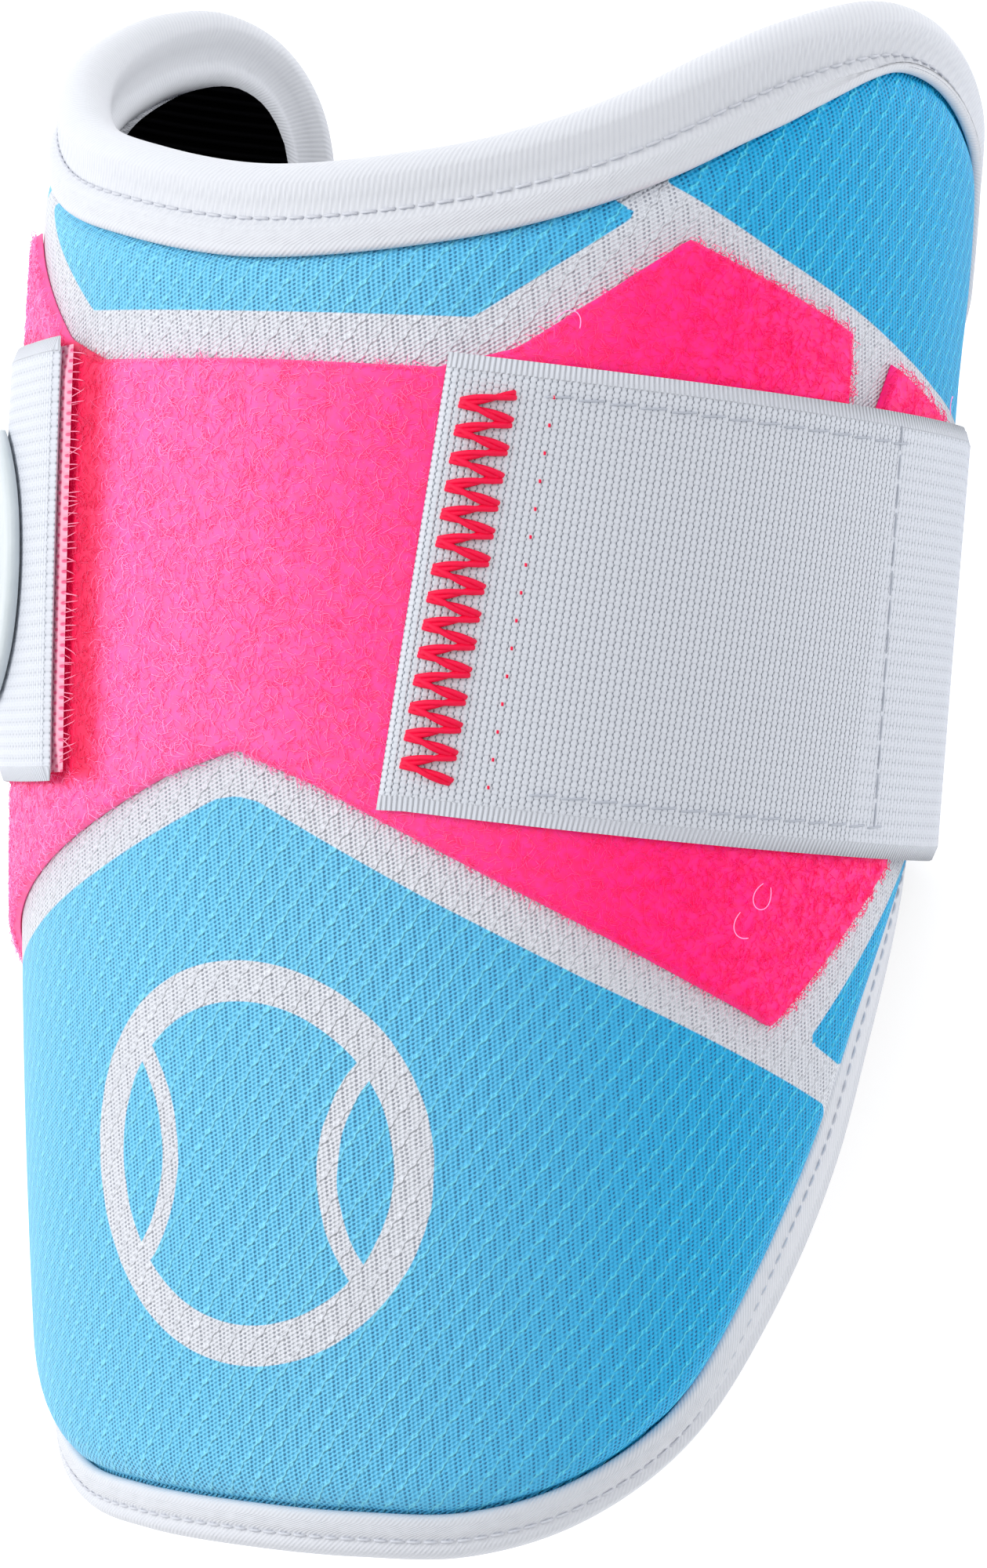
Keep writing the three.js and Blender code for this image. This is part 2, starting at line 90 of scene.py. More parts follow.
class Finish:
    """A procedural material built in steps: each method adds a node and gives back the socket it ends in."""

    def __init__(self, name, roughness, shine=0.3, sheen=0.0):
        self.material = bpy.data.materials.new(name)
        self.material.use_nodes = True
        self.tree = self.material.node_tree
        self.surface = self.tree.nodes["Principled BSDF"]
        self.surface.inputs["Roughness"].default_value = roughness
        self.surface.inputs["Specular IOR Level"].default_value = shine
        self.surface.inputs["Sheen Weight"].default_value = sheen

    def join(self, value, socket):
        if isinstance(value, bpy.types.NodeSocket):
            self.tree.links.new(value, socket)
        elif value is not None:
            socket.default_value = value

    def node(self, kind, *values, **settings):
        made = self.tree.nodes.new("ShaderNode" + kind)
        for setting, value in settings.items():
            setattr(made, setting, value)
        for value, socket in zip(values, made.inputs):
            self.join(value, socket)
        return made.outputs[0]

    def maths(self, operation, *values):
        return self.node("Math", *values, operation=operation)

    def times(self, first, second):
        return self.maths("MULTIPLY", first, second)

    def plus(self, first, second):
        return self.maths("ADD", first, second)

    def minus(self, first, second):
        return self.maths("SUBTRACT", first, second)

    def scaled(self, value, factor, shift):
        return self.maths("MULTIPLY_ADD", value, factor, shift)

    def falling(self, value, low, high):
        """1 below the low value and 0 above the high one, eased between."""
        return self.minus(1.0, self.smooth(value, low, high))

    def smooth(self, value, low, high):
        """0 below the low value and 1 above the high one, eased between."""
        return self.node("MapRange", value, low, high, interpolation_type="SMOOTHSTEP")

    def mixed(self, share, first, second, way="MIX"):
        return self.node("MixRGB", share, first, second, blend_type=way)

    def places(self, layer):
        """The two coordinates of a flat cloth pattern, in metres."""
        split = self.tree.nodes.new("ShaderNodeSeparateXYZ")
        self.tree.links.new(self.node("UVMap", uv_map=layer), split.inputs[0])
        return split.outputs[0], split.outputs[1]

    def mark(self, name):
        """A number that the mesh's points carry."""
        reader = self.tree.nodes.new("ShaderNodeAttribute")
        reader.attribute_name = name
        return reader.outputs["Fac"]

    def noise(self, metres, detail=2.0):
        place = self.tree.nodes.new("ShaderNodeTexCoord").outputs["Object"]
        made = self.tree.nodes.new("ShaderNodeTexNoise")
        self.join(place, made.inputs["Vector"])
        made.inputs["Scale"].default_value = 1 / metres
        made.inputs["Detail"].default_value = detail
        return made.outputs[0]

    def colour(self, value):
        self.join(value, self.surface.inputs["Base Color"])

    def relief(self, height, metres):
        """Bump whose full height is the given depth."""
        bump = self.tree.nodes.new("ShaderNodeBump")
        bump.inputs["Distance"].default_value = metres
        self.join(height, bump.inputs["Height"])
        self.join(bump.outputs[0], self.surface.inputs["Normal"])


def soft_light(name, aside, above, near, size, watts):
    """Square area light placed by the picture's own directions and aimed at the guard."""
    lamp = bpy.data.lights.new(name, "AREA")
    lamp.size = size
    lamp.energy = watts
    place = Vector(ARM_AXIS + picture_right * aside + picture_up * above + toward * near)
    light = bpy.data.objects.new(name, lamp)
    light.location = place
    light.rotation_euler = (place - Vector(ARM_AXIS)).to_track_quat("Z", "Y").to_euler()
    bpy.context.collection.objects.link(light)


paper = Finish("pale_paper", 0.9)
paper.colour(FLOOR_COLOUR)
paper.surface.inputs["Emission Color"].default_value = (1, 1, 1, 1)
paper.surface.inputs["Emission Strength"].default_value = FLOOR_GLOW
floor_mesh = bpy.data.meshes.new("floor")
floor_corners = [(-FLOOR_HALF, -FLOOR_HALF, 0), (FLOOR_HALF, -FLOOR_HALF, 0), (FLOOR_HALF, FLOOR_HALF, 0),
                 (-FLOOR_HALF, FLOOR_HALF, 0)]
floor_mesh.from_pydata(floor_corners, [], [(0, 1, 2, 3)])
floor_mesh.materials.append(paper.material)
floor = bpy.data.objects.new("floor", floor_mesh)
bpy.context.collection.objects.link(floor)

soft_light("key_light", **KEY_LIGHT)
soft_light("fill_light", **FILL_LIGHT)
sky = bpy.data.worlds.new("sky")
sky.use_nodes = True
backdrop = sky.node_tree.nodes["Background"]
backdrop.inputs["Color"].default_value = (1, 1, 1, 1)
leftward = sky.node_tree.nodes.new("ShaderNodeVectorMath")
leftward.operation = "DOT_PRODUCT"
leftward.inputs[1].default_value = -picture_right
fade = sky.node_tree.nodes.new("ShaderNodeMapRange")
fade.interpolation_type = "SMOOTHSTEP"
fade.inputs["From Min"].default_value = -1
fade.inputs["To Min"].default_value = SKY_RIGHT
fade.inputs["To Max"].default_value = SKY_LEFT
direction = sky.node_tree.nodes.new("ShaderNodeTexCoord")
sky.node_tree.links.new(direction.outputs["Generated"], leftward.inputs[0])
sky.node_tree.links.new(leftward.outputs["Value"], fade.inputs["Value"])
sky.node_tree.links.new(fade.outputs[0], backdrop.inputs["Strength"])
bpy.context.scene.world = sky
bpy.context.scene.view_settings.view_transform = "Standard"


# Padded shell
# Moulded foam, 7 mm thick, under a tight knitted spacer mesh dyed in blue and white areas. The edge is
# pressed thin for the trims, and the mesh rises from under them in a rounded shoulder.
SKIN_HALF_WIDTH = 0.0535
SKIN_FRONT_RISE = 0.0538
SKIN_DROP = 0.0056
STATION_REACH = 0.084
WRAP = 118.5
GUARD_LENGTH = 0.1734
TONGUE_LENGTH = 0.0707
PAD_THICKNESS = 0.007
SHOULDER_RUN = 0.0045
CLOTH = 0.0012
CLEARANCE = 0.0003
COVER_GRID = (236, 150)
DISTANCE_BLOCKS = 60
ARC_PER_DEGREE = np.radians(SKIN_HALF_WIDTH)

# Tongue, middle and rim of the skin: shares of its half width, its front rise and its drop.
SKIN_WIDTHS = (0.897, 1, 1.012)
SKIN_RISES = (1.042, 1, 1.119)
SKIN_DROPS = (-1, 0, -0.895)

# Right half of the shell's edge from the tongue's tip: share of the wrap, share of the guard's length.
RIGHT_EDGE = [
    (0, 0), (0.15, 0), (0.28, 0.003), (0.407, 0.025), (0.532, 0.073), (0.64, 0.153), (0.741, 0.246),
    (0.812, 0.331), (0.879, 0.392), (0.955, 0.452), (0.988, 0.53), (1, 0.66), (1, 0.78), (0.988, 0.882),
    (0.95, 0.932), (0.876, 0.962), (0.772, 0.988), (0.684, 0.993), (0.565, 0.973), (0.481, 0.949),
    (0.397, 0.921), (0.312, 0.898), (0.194, 0.877), (0, 0.864),
]

# Left half, from the middle of the rim back to the tongue.
LEFT_EDGE = [
    (-0.194, 0.88), (-0.312, 0.896), (-0.422, 0.922), (-0.523, 0.949), (-0.633, 0.974), (-0.73, 0.993),
    (-0.823, 1), (-0.9, 0.985), (-0.955, 0.95), (-0.99, 0.885), (-1, 0.78), (-1, 0.66), (-0.988, 0.53),
    (-0.955, 0.452), (-0.879, 0.392), (-0.812, 0.331), (-0.741, 0.246), (-0.64, 0.153), (-0.532, 0.073),
    (-0.407, 0.025), (-0.28, 0.003), (-0.15, 0),
]

# How far the trims reach in over the mesh, and how deep it lies under them, binding first and roll second.
HEM_REACH = (0.0036, 0.0066)
INNER_HEM_REACH = (0.0036, 0.006)
TRIM_SINK = (0.0019, 0)
HEM_TAPER = 0.0023
HEM_SPREAD = 0.0022
TAPER_FROM = 60
TAPER_TURN = 24
ROLL_START = 0.062
ROLL_BLEND = 0.012

# Blue areas of the mesh: turns in degrees and places along the arm in metres. The rest is white.
TOP_BLUE = [(-46, 0.079), (-27.2, 0.0665), (27.2, 0.0665), (45.7, 0.0786), (42.6, 0.0805), (40, 0.095),
            (-40, 0.095), (-42.6, 0.0805)]
WING_BLUE = [(49.6, 0.0822), (64.5, 0.0748), (77.6, 0.0691), (86.2, 0.0653), (95.5, 0.0616), (106, 0.0583),
             (125, 0.052), (125, 0.12), (49.6, 0.12)]
TONGUE_BLUE = [(-3, 0.0121), (0, 0.0126), (3, 0.0121), (23.4, 0.0027), (42.8, -0.0057), (80.5, -0.0208),
               (84, -0.025), (84, -0.1), (-84, -0.1), (-84, -0.025), (-80.5, -0.0208), (-42.8, -0.0057),
               (-23.4, 0.0027)]
SLIVER_BLUE = [(76.5, -0.0133), (98, 0.0063), (108, 0.016), (125, 0.03), (125, -0.0165), (83.1, -0.0163)]

# White ball sign on the tongue: a ring and two curved seams.
SIGN_TURN = 2
SIGN_ALONG = -0.0285
SIGN_RING = 0.0205
SIGN_BAND = 0.0023
SEAM_ASIDE = 0.0288
SEAM_RADIUS = 0.0184
SEAM_HALF_WIDTH = 0.0012

# Knit: pitches in metres, then where its parts fade, as shares of a column or of a stroke or as heights.
KNIT_COLUMN = 0.00148
KNIT_STROKE = 0.00405
KNIT_COURSE = 0.00043
KNIT_WALE = 0.000565
COURSE_WAY = (0.53, -0.85)
WALE_WAY = (0.99, 0.12)
KNIT_RELIEF = 0.00034
WANDER_SIZE = 0.004
WANDER = 0.0004
STROKE_END = (0.22, 0.36)
GROOVE_SIDE = (0.03, 0.2)
FIELD_SIDE = (0.22, 0.42)
RIDGE_SIDE = (0.02, 0.115)
RIDGE_KINK = -0.05
PIT_LEVEL = (0.7, 1.6)
LOOP_HEIGHT = -0.15
RIDGE_HEIGHT = 0.5
GROOVE_DEPTH = 0.12
PIT_DEPTH = 0.5
# Heights at which the knit's colour takes painted shade in the pits, painted highlight on the raised yarns
# and the painted haze.
PIT_SHADE_LEVEL = (-0.8, 0.05)
RIDGE_HIGHLIGHT_LEVEL = (0.15, 0.6)
PAINTED_HAZE_LEVEL = (-0.6, 0.3)
AREA_EDGE = 0.0001
SIGN_EDGE = 0.00008
# Pale blue is a painted highlight on the raised yarns, deep blue and pit grey are painted shade in the pits;
# sky blue and knit white are the dyes.
RIDGE_HIGHLIGHT_BLUE = (0.08, 0.72, 1.0, 1)
SKY_BLUE = (0.0, 0.46, 0.88, 1)
PIT_SHADE_BLUE = (0.0, 0.17, 0.44, 1)
# Painted haze: a pale blue laid over the raised yarns on the left half, standing for the key light's sheen.
PAINTED_HAZE_BLUE = (0.32, 0.78, 1.0, 1)
KNIT_PAINTED_HAZE = 0.62
PAINTED_HAZE_ENDS = (0.004, 0.062)
KNIT_WHITE = (0.76, 0.79, 0.86, 1)
PIT_SHADE_GREY = (0.41, 0.43, 0.52, 1)


def across_sections(shares, along):
    """Quadratic through the shares at the tongue, the middle and the rim."""
    low, middle, high = shares
    place = along / STATION_REACH
    return middle + (high - low) / 2 * place + ((high + low) / 2 - middle) * place**2


def on_skin(flat, lift):
    """Point at a flat place (arc, along), lifted off the skin: an ellipse round the arm whose half axes and
    centre follow the three sections."""
    angle = flat[..., 0] / SKIN_HALF_WIDTH
    along = flat[..., 1]
    half_width = SKIN_HALF_WIDTH * across_sections(SKIN_WIDTHS, along) + lift
    rise = SKIN_FRONT_RISE * across_sections(SKIN_RISES, along) + lift
    drop = SKIN_DROP * across_sections(SKIN_DROPS, along)
    return np.stack([half_width * np.sin(angle), along + 0 * lift, drop + rise * np.cos(angle)], -1)


def from_shares(rows):
    """Flat places of outline rows given as shares of the wrap and of the guard's length."""
    rows = np.array(rows, float)
    arc = rows[:, 0] * WRAP * ARC_PER_DEGREE
    return np.column_stack([arc, rows[:, 1] * GUARD_LENGTH - TONGUE_LENGTH])


def from_turns(rows):
    """Flat places of outline rows given as turns in degrees and places along the arm."""
    return np.array(rows, float) * (ARC_PER_DEGREE, 1)


def mirrored(rows):
    return [(-turn, height) for turn, height in reversed(rows)]


def smooth_loop(corners, steps):
    """Closed centripetal Catmull-Rom curve: cubic spans whose slopes at the corners weigh the spans before
    and after by the square roots of their lengths."""
    before, start, end, after = (np.roll(corners, shift, 0) for shift in (1, 0, -1, -2))
    gap_before = np.linalg.norm(start - before, axis=1)[:, None] ** 0.5
    gap = np.linalg.norm(end - start, axis=1)[:, None] ** 0.5
    gap_after = np.linalg.norm(after - end, axis=1)[:, None] ** 0.5
    span = end - start
    leaving = span + gap * ((start - before) / gap_before - (end - before) / (gap_before + gap))
    arriving = span + gap * ((after - end) / gap_after - (after - start) / (gap + gap_after))
    share = (np.arange(steps) / steps)[:, None, None]
    bend = 3 * span - 2 * leaving - arriving
    twist = leaving + arriving - 2 * span
    points = start + leaving * share + bend * share**2 + twist * share**3
    return points.transpose(1, 0, 2).reshape(-1, 2)


edge_line = smooth_loop(from_shares(RIGHT_EDGE + LEFT_EDGE), 40)
edge_ring = np.vstack([edge_line, edge_line[:1]])
edge_steps = np.linalg.norm(np.diff(edge_ring, axis=0), axis=1)
EDGE_LENGTH = edge_steps.sum()
edge_share = np.append(0, np.cumsum(edge_steps)) / EDGE_LENGTH
edge_slope = np.roll(edge_line, -1, 0) - np.roll(edge_line, 1, 0)
edge_slope /= np.linalg.norm(edge_slope, axis=1)[:, None]
edge_slope = np.vstack([edge_slope, edge_slope[:1]])


def along_edge(share, outward):
    """Flat place on the edge at a share of its length, moved outward across it."""
    x, y, slope_x, slope_y = (
        np.interp(share % 1, edge_share, column) for column in (*edge_ring.T, *edge_slope.T)
    )
    return np.stack([x + slope_y * outward, y - slope_x * outward], -1)


def eased(share):
    share = np.clip(share, 0, 1)
    return share**2 * (3 - 2 * share)


def roll_share(along):
    """1 where the thick roll trims the edge and 0 where the thin binding does."""
    return eased((along - ROLL_START) / ROLL_BLEND)


def between(pair, share):
    return pair[0] + (pair[1] - pair[0]) * share


def taper_share(flat):
    """1 out on the wings, where the roll's hem is narrow and the binding's is wide, and 0 in the middle."""
    return eased((np.abs(flat[..., 0]) / ARC_PER_DEGREE - TAPER_FROM) / TAPER_TURN)


def edge_distance(flat):
    """Distance in from the edge, as the least distance to its points, a block of rows at a time."""
    blocks = np.array_split(flat.reshape(-1, 2), DISTANCE_BLOCKS)
    least = [np.hypot(*(block[:, None] - edge_line).transpose(2, 0, 1)).min(1) for block in blocks]
    return np.concatenate(least).reshape(flat.shape[:-1])


def depth_inside(flat, corners):
    """Signed distance to a closed outline, positive inside it: the least distance to its sides, with the
    sign from how many sides lie to the right of the place."""
    least = np.full(flat.shape[:-1], np.inf)
    crossings = np.zeros(flat.shape[:-1], int)
    for start, end in zip(corners, np.roll(corners, -1, 0)):
        side = end - start
        way = np.clip(((flat - start) @ side) / (side @ side), 0, 1)
        least = np.minimum(least, np.linalg.norm(flat - start - way[..., None] * side, axis=-1))
        spans = (start[1] > flat[..., 1]) != (end[1] > flat[..., 1])
        reach = start[0] + (flat[..., 1] - start[1]) * side[0] / (side[1] or 1e-12)
        crossings += spans & (reach > flat[..., 0])
    return np.where(crossings % 2 == 1, least, -least)


def column_grid(loop, columns, rows):
    """Flat places in columns over a closed outline, from its left end to its right end, each running from
    the lower side to the upper side and crowded a little near both."""
    x, y = loop.T
    if np.sum(x * np.roll(y, -1) - np.roll(x, -1) * y) < 0:
        loop = loop[::-1]
    loop = np.roll(loop, -loop[:, 0].argmin(), 0)
    right = loop[:, 0].argmax()
    lower, upper = loop[: right + 1], np.vstack([loop[:1], loop[:right - 1:-1]])
    crowd = lambda count, share: (1 - share) * np.linspace(0, 1, count) + share * (
        0.5 - 0.5 * np.cos(np.linspace(0, np.pi, count)))
    arc = lower[0, 0] + (lower[-1, 0] - lower[0, 0]) * crowd(columns, 0.25)
    low, high = (np.interp(arc, np.maximum.accumulate(side[:, 0]), side[:, 1]) for side in (lower, upper))
    height = low + (high - low) * crowd(rows, 0.4)[:, None]
    return np.stack([np.broadcast_to(arc, height.shape), height], -1)


def slab_faces(rows, columns):
    """Quads of a closed slab: an outer grid, an inner grid after it, and walls round their borders."""
    place = np.arange(rows * columns).reshape(rows, columns)
    outer = np.stack([place[:-1, :-1], place[:-1, 1:], place[1:, 1:], place[1:, :-1]], -1).reshape(-1, 4)
    inner = outer[:, ::-1] + place.size
    border = np.concatenate([place[0, :-1], place[:-1, -1], place[-1, :0:-1], place[:0:-1, 0]])
    ahead = np.roll(border, -1)
    walls = np.stack([ahead, border, border + place.size, ahead + place.size], -1)
    return np.concatenate([outer, inner, walls])


def skin_slab(flat, outer, inner):
    """Closed slab over a grid of flat places between two heights off the skin, with its flat pattern."""
    sides = [on_skin(flat, lift + 0 * flat[..., 0]).reshape(-1, 3) for lift in (outer, inner)]
    return np.concatenate(sides), slab_faces(*flat.shape[:2]), np.tile(flat.reshape(-1, 2), (2, 1))


def outward_faces(points, faces):
    """The faces, all turned over if the volume that they close comes out negative."""
    corners = points[faces]
    volume = sum(
        np.einsum("ij,ij->", corners[:, 0], np.cross(corners[:, side], corners[:, side + 1]))
        for side in range(1, faces.shape[1] - 1)
    )
    return faces if volume > 0 else faces[:, ::-1]


def make_piece(name, points, faces, finish, slot, nodes=(), cloth=None, **marks):
    """Object at the origin from arrays of points about the arm's axis and of faces with equal corner counts.
    cloth is the flat pattern's place of each point, and marks are numbers carried by the points."""
    faces = outward_faces(points, faces)
    count, corners = faces.shape
    mesh = bpy.data.meshes.new(name)
    mesh.vertices.add(len(points))
    mesh.vertices.foreach_set("co", (points + ARM_AXIS).ravel())
    mesh.loops.add(faces.size)
    mesh.loops.foreach_set("vertex_index", faces.ravel().astype(np.int32))
    mesh.polygons.add(count)
    mesh.polygons.foreach_set("loop_start", np.arange(0, faces.size, corners, dtype=np.int32))
    mesh.update(calc_edges=True)
    if cloth is not None:
        mesh.uv_layers.new(name="cloth").uv.foreach_set("vector", cloth[faces.ravel()].ravel())
    for mark, values in marks.items():
        mesh.attributes.new(mark, "FLOAT", "POINT").data.foreach_set("value", values.ravel())
    mesh.shade_smooth()
    mesh.materials.append(finish.material)
    piece = bpy.data.objects.new(name, mesh)
    bpy.context.collection.objects.link(piece)
    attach(piece, "root")
    if nodes:
        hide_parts(*nodes)
    return piece


def knit_finish():
    """Spacer mesh: a fine slanting lattice of stitches, staggered strokes in columns that sink between
    fields of small pits, and thin ridges that run up between the strokes from the left to the right. The
    pits are painted darker as painted shade and the raised yarns paler as a painted highlight, and on the
    left half the raised yarns are paled further by a painted haze that stands for the key light's sheen."""
    knit = Finish("spacer_mesh", 0.5, 0.32)
    arc, along = knit.places("cloth")
    wander = knit.scaled(knit.noise(WANDER_SIZE), WANDER, -WANDER / 2)
    arc = knit.plus(arc, wander)
    column = knit.maths("DIVIDE", arc, KNIT_COLUMN)
    row = knit.maths("DIVIDE", along, KNIT_STROKE)
    number = knit.maths("FLOOR", column)
    aside = knit.maths("ABSOLUTE", knit.minus(knit.maths("FRACT", column), 0.5))
    way = knit.maths("FRACT", knit.scaled(number, 0.5, row))
    way = knit.maths("ABSOLUTE", knit.minus(way, 0.5))
    in_stroke = knit.falling(way, *STROKE_END)
    groove, field = (
        knit.times(in_stroke, knit.falling(aside, *side))
        for side in (GROOVE_SIDE, FIELD_SIDE)
    )
    kink = knit.maths("SINE", knit.times(column, 2 * np.pi))
    stair = knit.scaled(kink, RIDGE_KINK, knit.times(column, 0.5))
    slant = knit.maths("FRACT", knit.minus(stair, row))
    off_ridge = knit.maths("ABSOLUTE", knit.minus(slant, 0.25))
    ridge = knit.falling(off_ridge, *RIDGE_SIDE)

    def lattice(way, pitch):
        """Wave over the cloth with its crests across the given direction."""
        place = knit.plus(knit.times(arc, way[0]), knit.times(along, way[1]))
        return knit.maths("SINE", knit.times(place, 2 * np.pi / pitch))

    loops = knit.plus(lattice(COURSE_WAY, KNIT_COURSE), lattice(WALE_WAY, KNIT_WALE))
    pits = knit.times(knit.scaled(field, 0.8, 0.2), knit.smooth(loops, *PIT_LEVEL))
    height = knit.scaled(loops, LOOP_HEIGHT, knit.times(ridge, RIDGE_HEIGHT))
    height = knit.minus(height, knit.times(groove, GROOVE_DEPTH))
    height = knit.minus(height, knit.times(pits, PIT_DEPTH))
    knit.relief(height, KNIT_RELIEF)

    # Painted shade and highlight: the blue deepens in the pits and pales on the raised yarns, and the white
    # greys in the pits.
    blue = knit.mixed(knit.smooth(height, *PIT_SHADE_LEVEL), PIT_SHADE_BLUE, SKY_BLUE)
    blue = knit.mixed(knit.smooth(height, *RIDGE_HIGHLIGHT_LEVEL), blue, RIDGE_HIGHLIGHT_BLUE)
    # Painted haze, standing for the key light's sheen: the raised yarns are paled towards the left half.
    haze = knit.minus(KNIT_PAINTED_HAZE, knit.times(knit.smooth(arc, *PAINTED_HAZE_ENDS), KNIT_PAINTED_HAZE))
    on_top = knit.scaled(knit.smooth(height, *PAINTED_HAZE_LEVEL), 0.7, 0.3)
    blue = knit.mixed(knit.times(haze, on_top), blue, PAINTED_HAZE_BLUE)
    white = knit.mixed(pits, KNIT_WHITE, PIT_SHADE_GREY)
    from_centre = knit.minus(arc, SIGN_TURN * ARC_PER_DEGREE)
    from_level = knit.minus(along, SIGN_ALONG)

    def ring_depth(aside_by, radius, half_width):
        """Depth inside a ring band about a centre moved aside."""
        x = knit.minus(from_centre, aside_by)
        reach = knit.maths("SQRT", knit.plus(knit.times(x, x),
                                              knit.times(from_level, from_level)))
        off = knit.maths("ABSOLUTE", knit.minus(reach, radius))
        return knit.minus(half_width, off), reach

    ring, reach = ring_depth(0, SIGN_RING, SIGN_BAND)
    within = knit.minus(SIGN_RING, reach)
    seams = [
        knit.maths("MINIMUM", ring_depth(side * SEAM_ASIDE, SEAM_RADIUS, SEAM_HALF_WIDTH)[0], within)
        for side in (-1, 1)
    ]
    sign = knit.maths("MAXIMUM", ring, knit.maths("MAXIMUM", *seams))
    in_sign = knit.smooth(sign, -SIGN_EDGE, SIGN_EDGE)
    in_blue = knit.smooth(knit.mark("blue_depth"), -AREA_EDGE, AREA_EDGE)
    in_blue = knit.times(in_blue, knit.minus(1.0, in_sign))
    knit.colour(knit.mixed(in_blue, white, blue))
    return knit


def shell_cover():
    """Slab over the edge's outline. Its outer face falls under the trims in a quarter round, and its inner
    face steps back there, both by the distance in from the edge."""
    flat = column_grid(edge_line, *COVER_GRID)
    inward = edge_distance(flat)
    roll = roll_share(flat[..., 1])
    reach = between(HEM_REACH, roll) + between((HEM_SPREAD, -HEM_TAPER), roll) * taper_share(flat)
    climb = np.clip((inward - reach - CLEARANCE) / SHOULDER_RUN, 0, 1)
    outer = -(between(TRIM_SINK, roll) + CLOTH + CLEARANCE) * (1 - np.sqrt(1 - (1 - climb) ** 2))
    step = eased((inward - between(INNER_HEM_REACH, roll) - CLEARANCE) / CLEARANCE)
    inner = -PAD_THICKNESS + (CLOTH + CLEARANCE) * (1 - step)
    areas = [TOP_BLUE, WING_BLUE, mirrored(WING_BLUE), TONGUE_BLUE, SLIVER_BLUE, mirrored(SLIVER_BLUE)]
    depth = np.max([depth_inside(flat, from_turns(area)) for area in areas], axis=0)
    inner_depth = np.full(depth.size, -PAD_THICKNESS)
    return *skin_slab(flat, outer, inner), np.append(depth.ravel(), inner_depth)


points, faces, cloth, depth = shell_cover()
cover = make_piece("mesh_cover", points, faces, knit_finish(), "mesh_fabric", ["padded_shell"], cloth,
                   blue_depth=depth)


# Lining
# A thin black cloth with fine cross ribs, stuck to the inside of the foam and tucked under the inner hem.
LINING_THICKNESS = 0.0012
LINING_INSET = 0.0056
LINING_RIB = 0.0013
LINING_BLACK = (0.0003, 0.0003, 0.0004, 1)
LINING_GREY = (0.0016, 0.0016, 0.002, 1)


def inset_slab(loop, columns, rows, outer, inner):
    """Slab over an outline between two heights off the skin, its rims rounded by half its thickness."""
    flat = column_grid(loop, columns, rows)
    half = (outer - inner) / 2
    near = np.clip(depth_inside(flat, loop) / half, 0, 1)
    swell = half * np.sqrt(1 - (1 - near) ** 2)
    return skin_slab(flat, inner + half + swell, inner + half - swell)


ribbed = Finish("black_lining", 1.0, 0.0)
arc, along = ribbed.places("cloth")
rib = ribbed.maths("SINE", ribbed.times(along, 2 * np.pi / LINING_RIB))
ribbed.colour(ribbed.mixed(ribbed.smooth(rib, -0.4, 0.9), LINING_BLACK, LINING_GREY))
ribbed.relief(rib, 0.0002)
lining_loop = along_edge(np.linspace(0, 1, 240, endpoint=False), np.float64(-LINING_INSET))
points, faces, cloth = inset_slab(lining_loop, 110, 80, -PAD_THICKNESS - CLEARANCE,
                                  -PAD_THICKNESS - CLEARANCE - LINING_THICKNESS)
make_piece("lining_cloth", points, faces, ribbed, "lining_fabric", ["lining"], cloth)


# Rim roll and edge binding
# White jersey folded over the edge. Round the rim it wraps a foam cord and is stitched down through a
# wide hem; round the wings and the tongue it is a plain narrow binding. Lockstitching runs in its groove.
RIM_BULGE = 0.0039
RIM_GROOVE = 0.0008
BINDING_BULGE = 0.0018
BINDING_GROOVE = 0.00035
TRIM_RING_STEP = 0.00052
PUCKER = 0.0003
PUCKER_SHARES = (0.4, 1)
WAIST_SHARES = (-0.3, -0.6)
EDGE_ANGLES = np.radians(np.arange(-70, 71, 20))
SLOT_ROUND = 0.0006
SECTION_STEPS = 2
GROOVE_CORNER = 5

# Rounded lips of the outer and the inner hem: distance in from the hem's edge, share of the cloth's depth.
OUTER_LIP = [(0.0001, 0.9), (0, 0.45), (0.0004, 0.025), (0.0012, 0)]
INNER_LIP = [(0.001, 0), (0, 0.5), (0.0001, 1)]

TWILL_PITCH = 0.00046
JERSEY_WHITE = (0.69, 0.71, 0.76, 1)
JERSEY_SHADE = (0.645, 0.665, 0.72, 1)
STITCH_PITCH = 0.0021
STITCH_LENGTH = 0.0017
STITCH_RADIUS = 0.00017
STITCH_POINTS = 7
STITCH_DIP = 0.6
HEM_STITCH = 0.003
# The thread is white; the grey below is painted shade at the needle holes.
THREAD_SHADE_GREY = (0.55, 0.57, 0.64, 1)


def trim_corners(share, spread=0):
    """Section of the trims as outward distance and lift off the skin: the outer hem, the groove of the
    stitching, the rounded edge, the groove on the inner side, the inner hem and the slot for the foam."""
    outer_hem = between(HEM_REACH, share) + spread
    inner_hem = between(INNER_HEM_REACH, share)
    bulge = between((BINDING_BULGE, RIM_BULGE), share)
    groove = between((BINDING_GROOVE, RIM_GROOVE), share)
    top = -between(TRIM_SINK, share)
    foot = -PAD_THICKNESS
    middle = (top + foot) / 2
    waist = between(WAIST_SHARES, share) * bulge
    edge = zip(bulge * np.cos(EDGE_ANGLES), middle - (top - foot) / 2 * np.sin(EDGE_ANGLES))
    outer_lip = [(off - outer_hem, top - deep * CLOTH) for off, deep in OUTER_LIP]
    inner_lip = [(off - inner_hem, foot + deep * CLOTH) for off, deep in INNER_LIP]
    round_in = CLEARANCE - SLOT_ROUND
    slot = [(round_in, foot + CLOTH), (CLEARANCE, middle), (round_in, top - CLOTH)]
    outer = [*outer_lip, (waist - bulge / 3, top), (waist, top - groove)]
    inner = [(waist, foot + groove), (waist - bulge / 3, foot), *inner_lip]
    return np.array([*outer, *edge, *inner, *slot])


